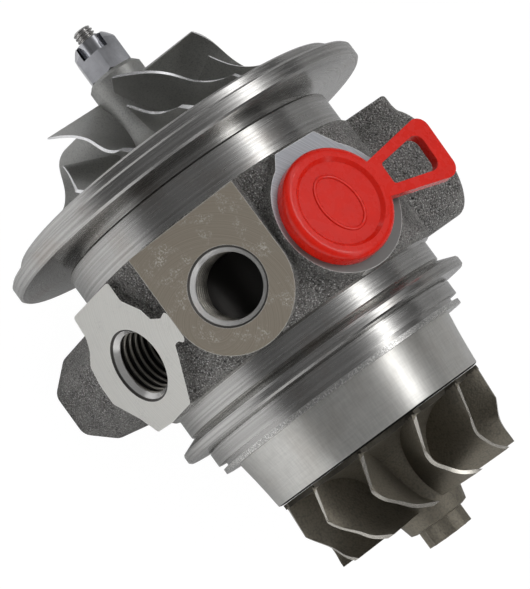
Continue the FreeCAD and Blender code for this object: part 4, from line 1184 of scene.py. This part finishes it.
@dataclass
class Studio:
    """Camera, lamps, floor and white surroundings.

    The bands give the level of the mirrored surroundings at tilts round the shaft's axis.
    """

    eye: tuple[float, float, float] = (64.17, -219.70, 351.60)
    right: tuple[float, float, float] = (0.5901, 0.7112, 0.3821)
    up: tuple[float, float, float] = (-0.8029, 0.4677, 0.3696)
    focus: float = 2172.1
    long_side: float = 589.0
    sensor: float = 36.0
    floor_height: float = -43.52
    floor_half: float = 1500.0
    bend_start: float = 900.0
    bend_radius: float = 400.0
    middle: tuple[float, float, float] = (26.0, 0.0, 0.0)
    soft_level: float = 3.1
    bands: tuple[tuple[float, float], ...] = (
        (-180, 0.35), (-132, 0.62), (-116, 0.24), (-100, 0.10), (-76, 0.06), (-52, 0.08),
        (-38, 0.20), (-20, 1.15), (-2, 0.24), (12, 0.13), (44, 0.13), (60, 0.09),
        (76, 0.10), (92, 0.66), (108, 0.74), (124, 0.58), (156, 0.32), (180, 0.35))
    lamps: tuple[Lamp, ...] = (
        Lamp("key", 0.75, 0.55, 0.75, 620.0, 420.0, 120.0, 0.35, True),
        Lamp("fill", -0.95, -0.1, 0.7, 640.0, 420.0, 300.0, 0.14, False),
        Lamp("rim", 0.2, -0.9, 0.75, 640.0, 420.0, 260.0, 0.5, False))

    def build(self) -> None:
        """Set up everything that isn't part of the object."""
        self._camera()
        self._floor()
        self._lamps()
        self._world()
        bpy.context.scene.view_settings.view_transform = "Standard"

    def _camera(self) -> None:
        """Place the camera where the photograph was taken from."""
        data = bpy.data.cameras.new("camera")
        made = add("camera", data)
        right = Vector(self.right).normalized()
        back = right.cross(Vector(self.up)).normalized()
        turned = Matrix((right, back.cross(right), back)).transposed().to_4x4()
        turned.translation = Vector(self.eye) * MM
        made.matrix_world = turned
        data.sensor_width = self.sensor
        data.lens = self.sensor * self.focus / self.long_side
        data.clip_start = 0.01
        data.clip_end = 20.0
        bpy.context.scene.camera = made

    def _floor(self) -> None:
        """Lay a pale floor that rises into a backdrop along a soft bend.

        The height is floor_height + d^2 / bend_radius for the distance d beyond the flat part.
        """
        line = np.linspace(-self.floor_half, self.floor_half, 61)
        x, y = np.meshgrid(line, line, indexing="ij")
        beyond = np.maximum(y - self.bend_start, 0.0)
        points = np.stack([x, y, self.floor_height + beyond ** 2 / self.bend_radius], axis=-1)
        made = MeshMaker.grid("floor", points, closed=False)
        material = bpy.data.materials.new("floor_paper")
        material.use_nodes = True
        tree = material.node_tree
        tool = Shader(tree)
        shader = tree.nodes["Principled BSDF"]
        tool.join(tool.blend(tool.spread(tool.parts()[1], -0.12, 0.1),
                             Tint(226, 226, 226), Tint(150, 150, 150)),
                  shader.inputs["Base Color"])
        shader.inputs["Roughness"].default_value = 0.9
        glow = tool.node("ShaderNodeEmission")
        glow.inputs["Strength"].default_value = 1.06
        self._mix(tool, (0.93, 0.12), shader, glow,
                  tree.nodes["Material Output"].inputs["Surface"])
        made.data.materials.append(material)

    @staticmethod
    def _mix(tool: Shader, shares: tuple[float, float], shaded: bpy.types.Node,
             white: bpy.types.Node, target: Socket) -> None:
        """Show white to the camera and through glass, and a share of it to mirrors.

        Args:
            tool: the tree that the nodes go into.
            shares: share of white for camera and transmission rays, and for glossy rays.
            shaded: what the other rays meet.
            white: the white shader.
            target: where the mixed shader goes.
        """
        path = tool.node("ShaderNodeLightPath").outputs
        seen = tool.times(tool.union(path["Is Camera Ray"], path["Is Transmission Ray"]),
                          shares[0])
        mirrored = tool.times(path["Is Glossy Ray"], shares[1])
        mix = tool.node("ShaderNodeMixShader")
        tool.join(tool.union(seen, mirrored), mix.inputs[0])
        tool.join(shaded.outputs[0], mix.inputs[1])
        tool.join(white.outputs[0], mix.inputs[2])
        tool.join(mix.outputs[0], target)

    def _lamps(self) -> None:
        """Hang soft lamps round the object. Only the key lamp shows in the metal."""
        right = np.array(self.right)
        up = np.array(self.up)
        back = np.cross(right, up)
        for lamp in self.lamps:
            aim = lamp.right * right + lamp.up * up + lamp.back * back
            aim = aim / np.linalg.norm(aim)
            data = bpy.data.lights.new(lamp.name, "AREA")
            data.shape = "RECTANGLE"
            data.size = lamp.wide * MM
            data.size_y = lamp.high * MM
            data.energy = lamp.watts
            made = add(lamp.name, data)
            made.location = Vector((np.array(self.middle) + aim * lamp.distance) * MM)
            made.rotation_mode = "QUATERNION"
            made.rotation_quaternion = Vector(-aim).to_track_quat("-Z", "Y")
            made.visible_glossy = lamp.mirrored

    def _world(self) -> None:
        """White to the camera, the bands to mirroring metal, and brighter bands to the rest."""
        world = bpy.data.worlds.new("studio")
        bpy.context.scene.world = world
        world.use_nodes = True
        tree = world.node_tree
        tool = Shader(tree)
        base = tree.nodes["Background"]
        _, y, z = tool.parts(tool.node("ShaderNodeTexCoord").outputs["Generated"])
        turn = tool.math("ARCTAN2", tool.times(y, -1.0), z)
        ramp = tool.node("ShaderNodeValToRGB")
        ramp.color_ramp.interpolation = "EASE"
        steps = ramp.color_ramp.elements
        for count, (tilt, level) in enumerate(self.bands):
            place = 0.5 + tilt / 360.0
            step = steps[count] if count < 2 else steps.new(place)
            step.position = place
            step.color = (level, level, level * 1.02, 1.0)
        tool.join(tool.math("ADD", tool.math("DIVIDE", turn, TAU), 0.5), ramp.inputs[0])
        tool.join(ramp.outputs[0], base.inputs["Color"])
        path = tool.node("ShaderNodeLightPath").outputs
        tool.join(tool.between(path["Is Glossy Ray"], self.soft_level, 1.0),
                  base.inputs["Strength"])
        world.cycles.sampling_method = "NONE"
        white = tool.node("ShaderNodeBackground")
        white.inputs["Color"].default_value = (1.0, 1.0, 1.0, 1.0)
        white.inputs["Strength"].default_value = 1.0
        self._mix(tool, (1.0, 0.03), base, white, tree.nodes["World Output"].inputs["Surface"])


def main() -> None:
    """Dress every part of the cartridge and set up the studio."""
    logging.basicConfig(level=logging.INFO, format="%(message)s")
    finishes = Finishes(SharedGroups())
    Housing().build(finishes)
    Rotor().build(finishes)
    InletCap().build(finishes)
    dress_inner(finishes)
    Studio().build()


if __name__ == "__main__":
    main()
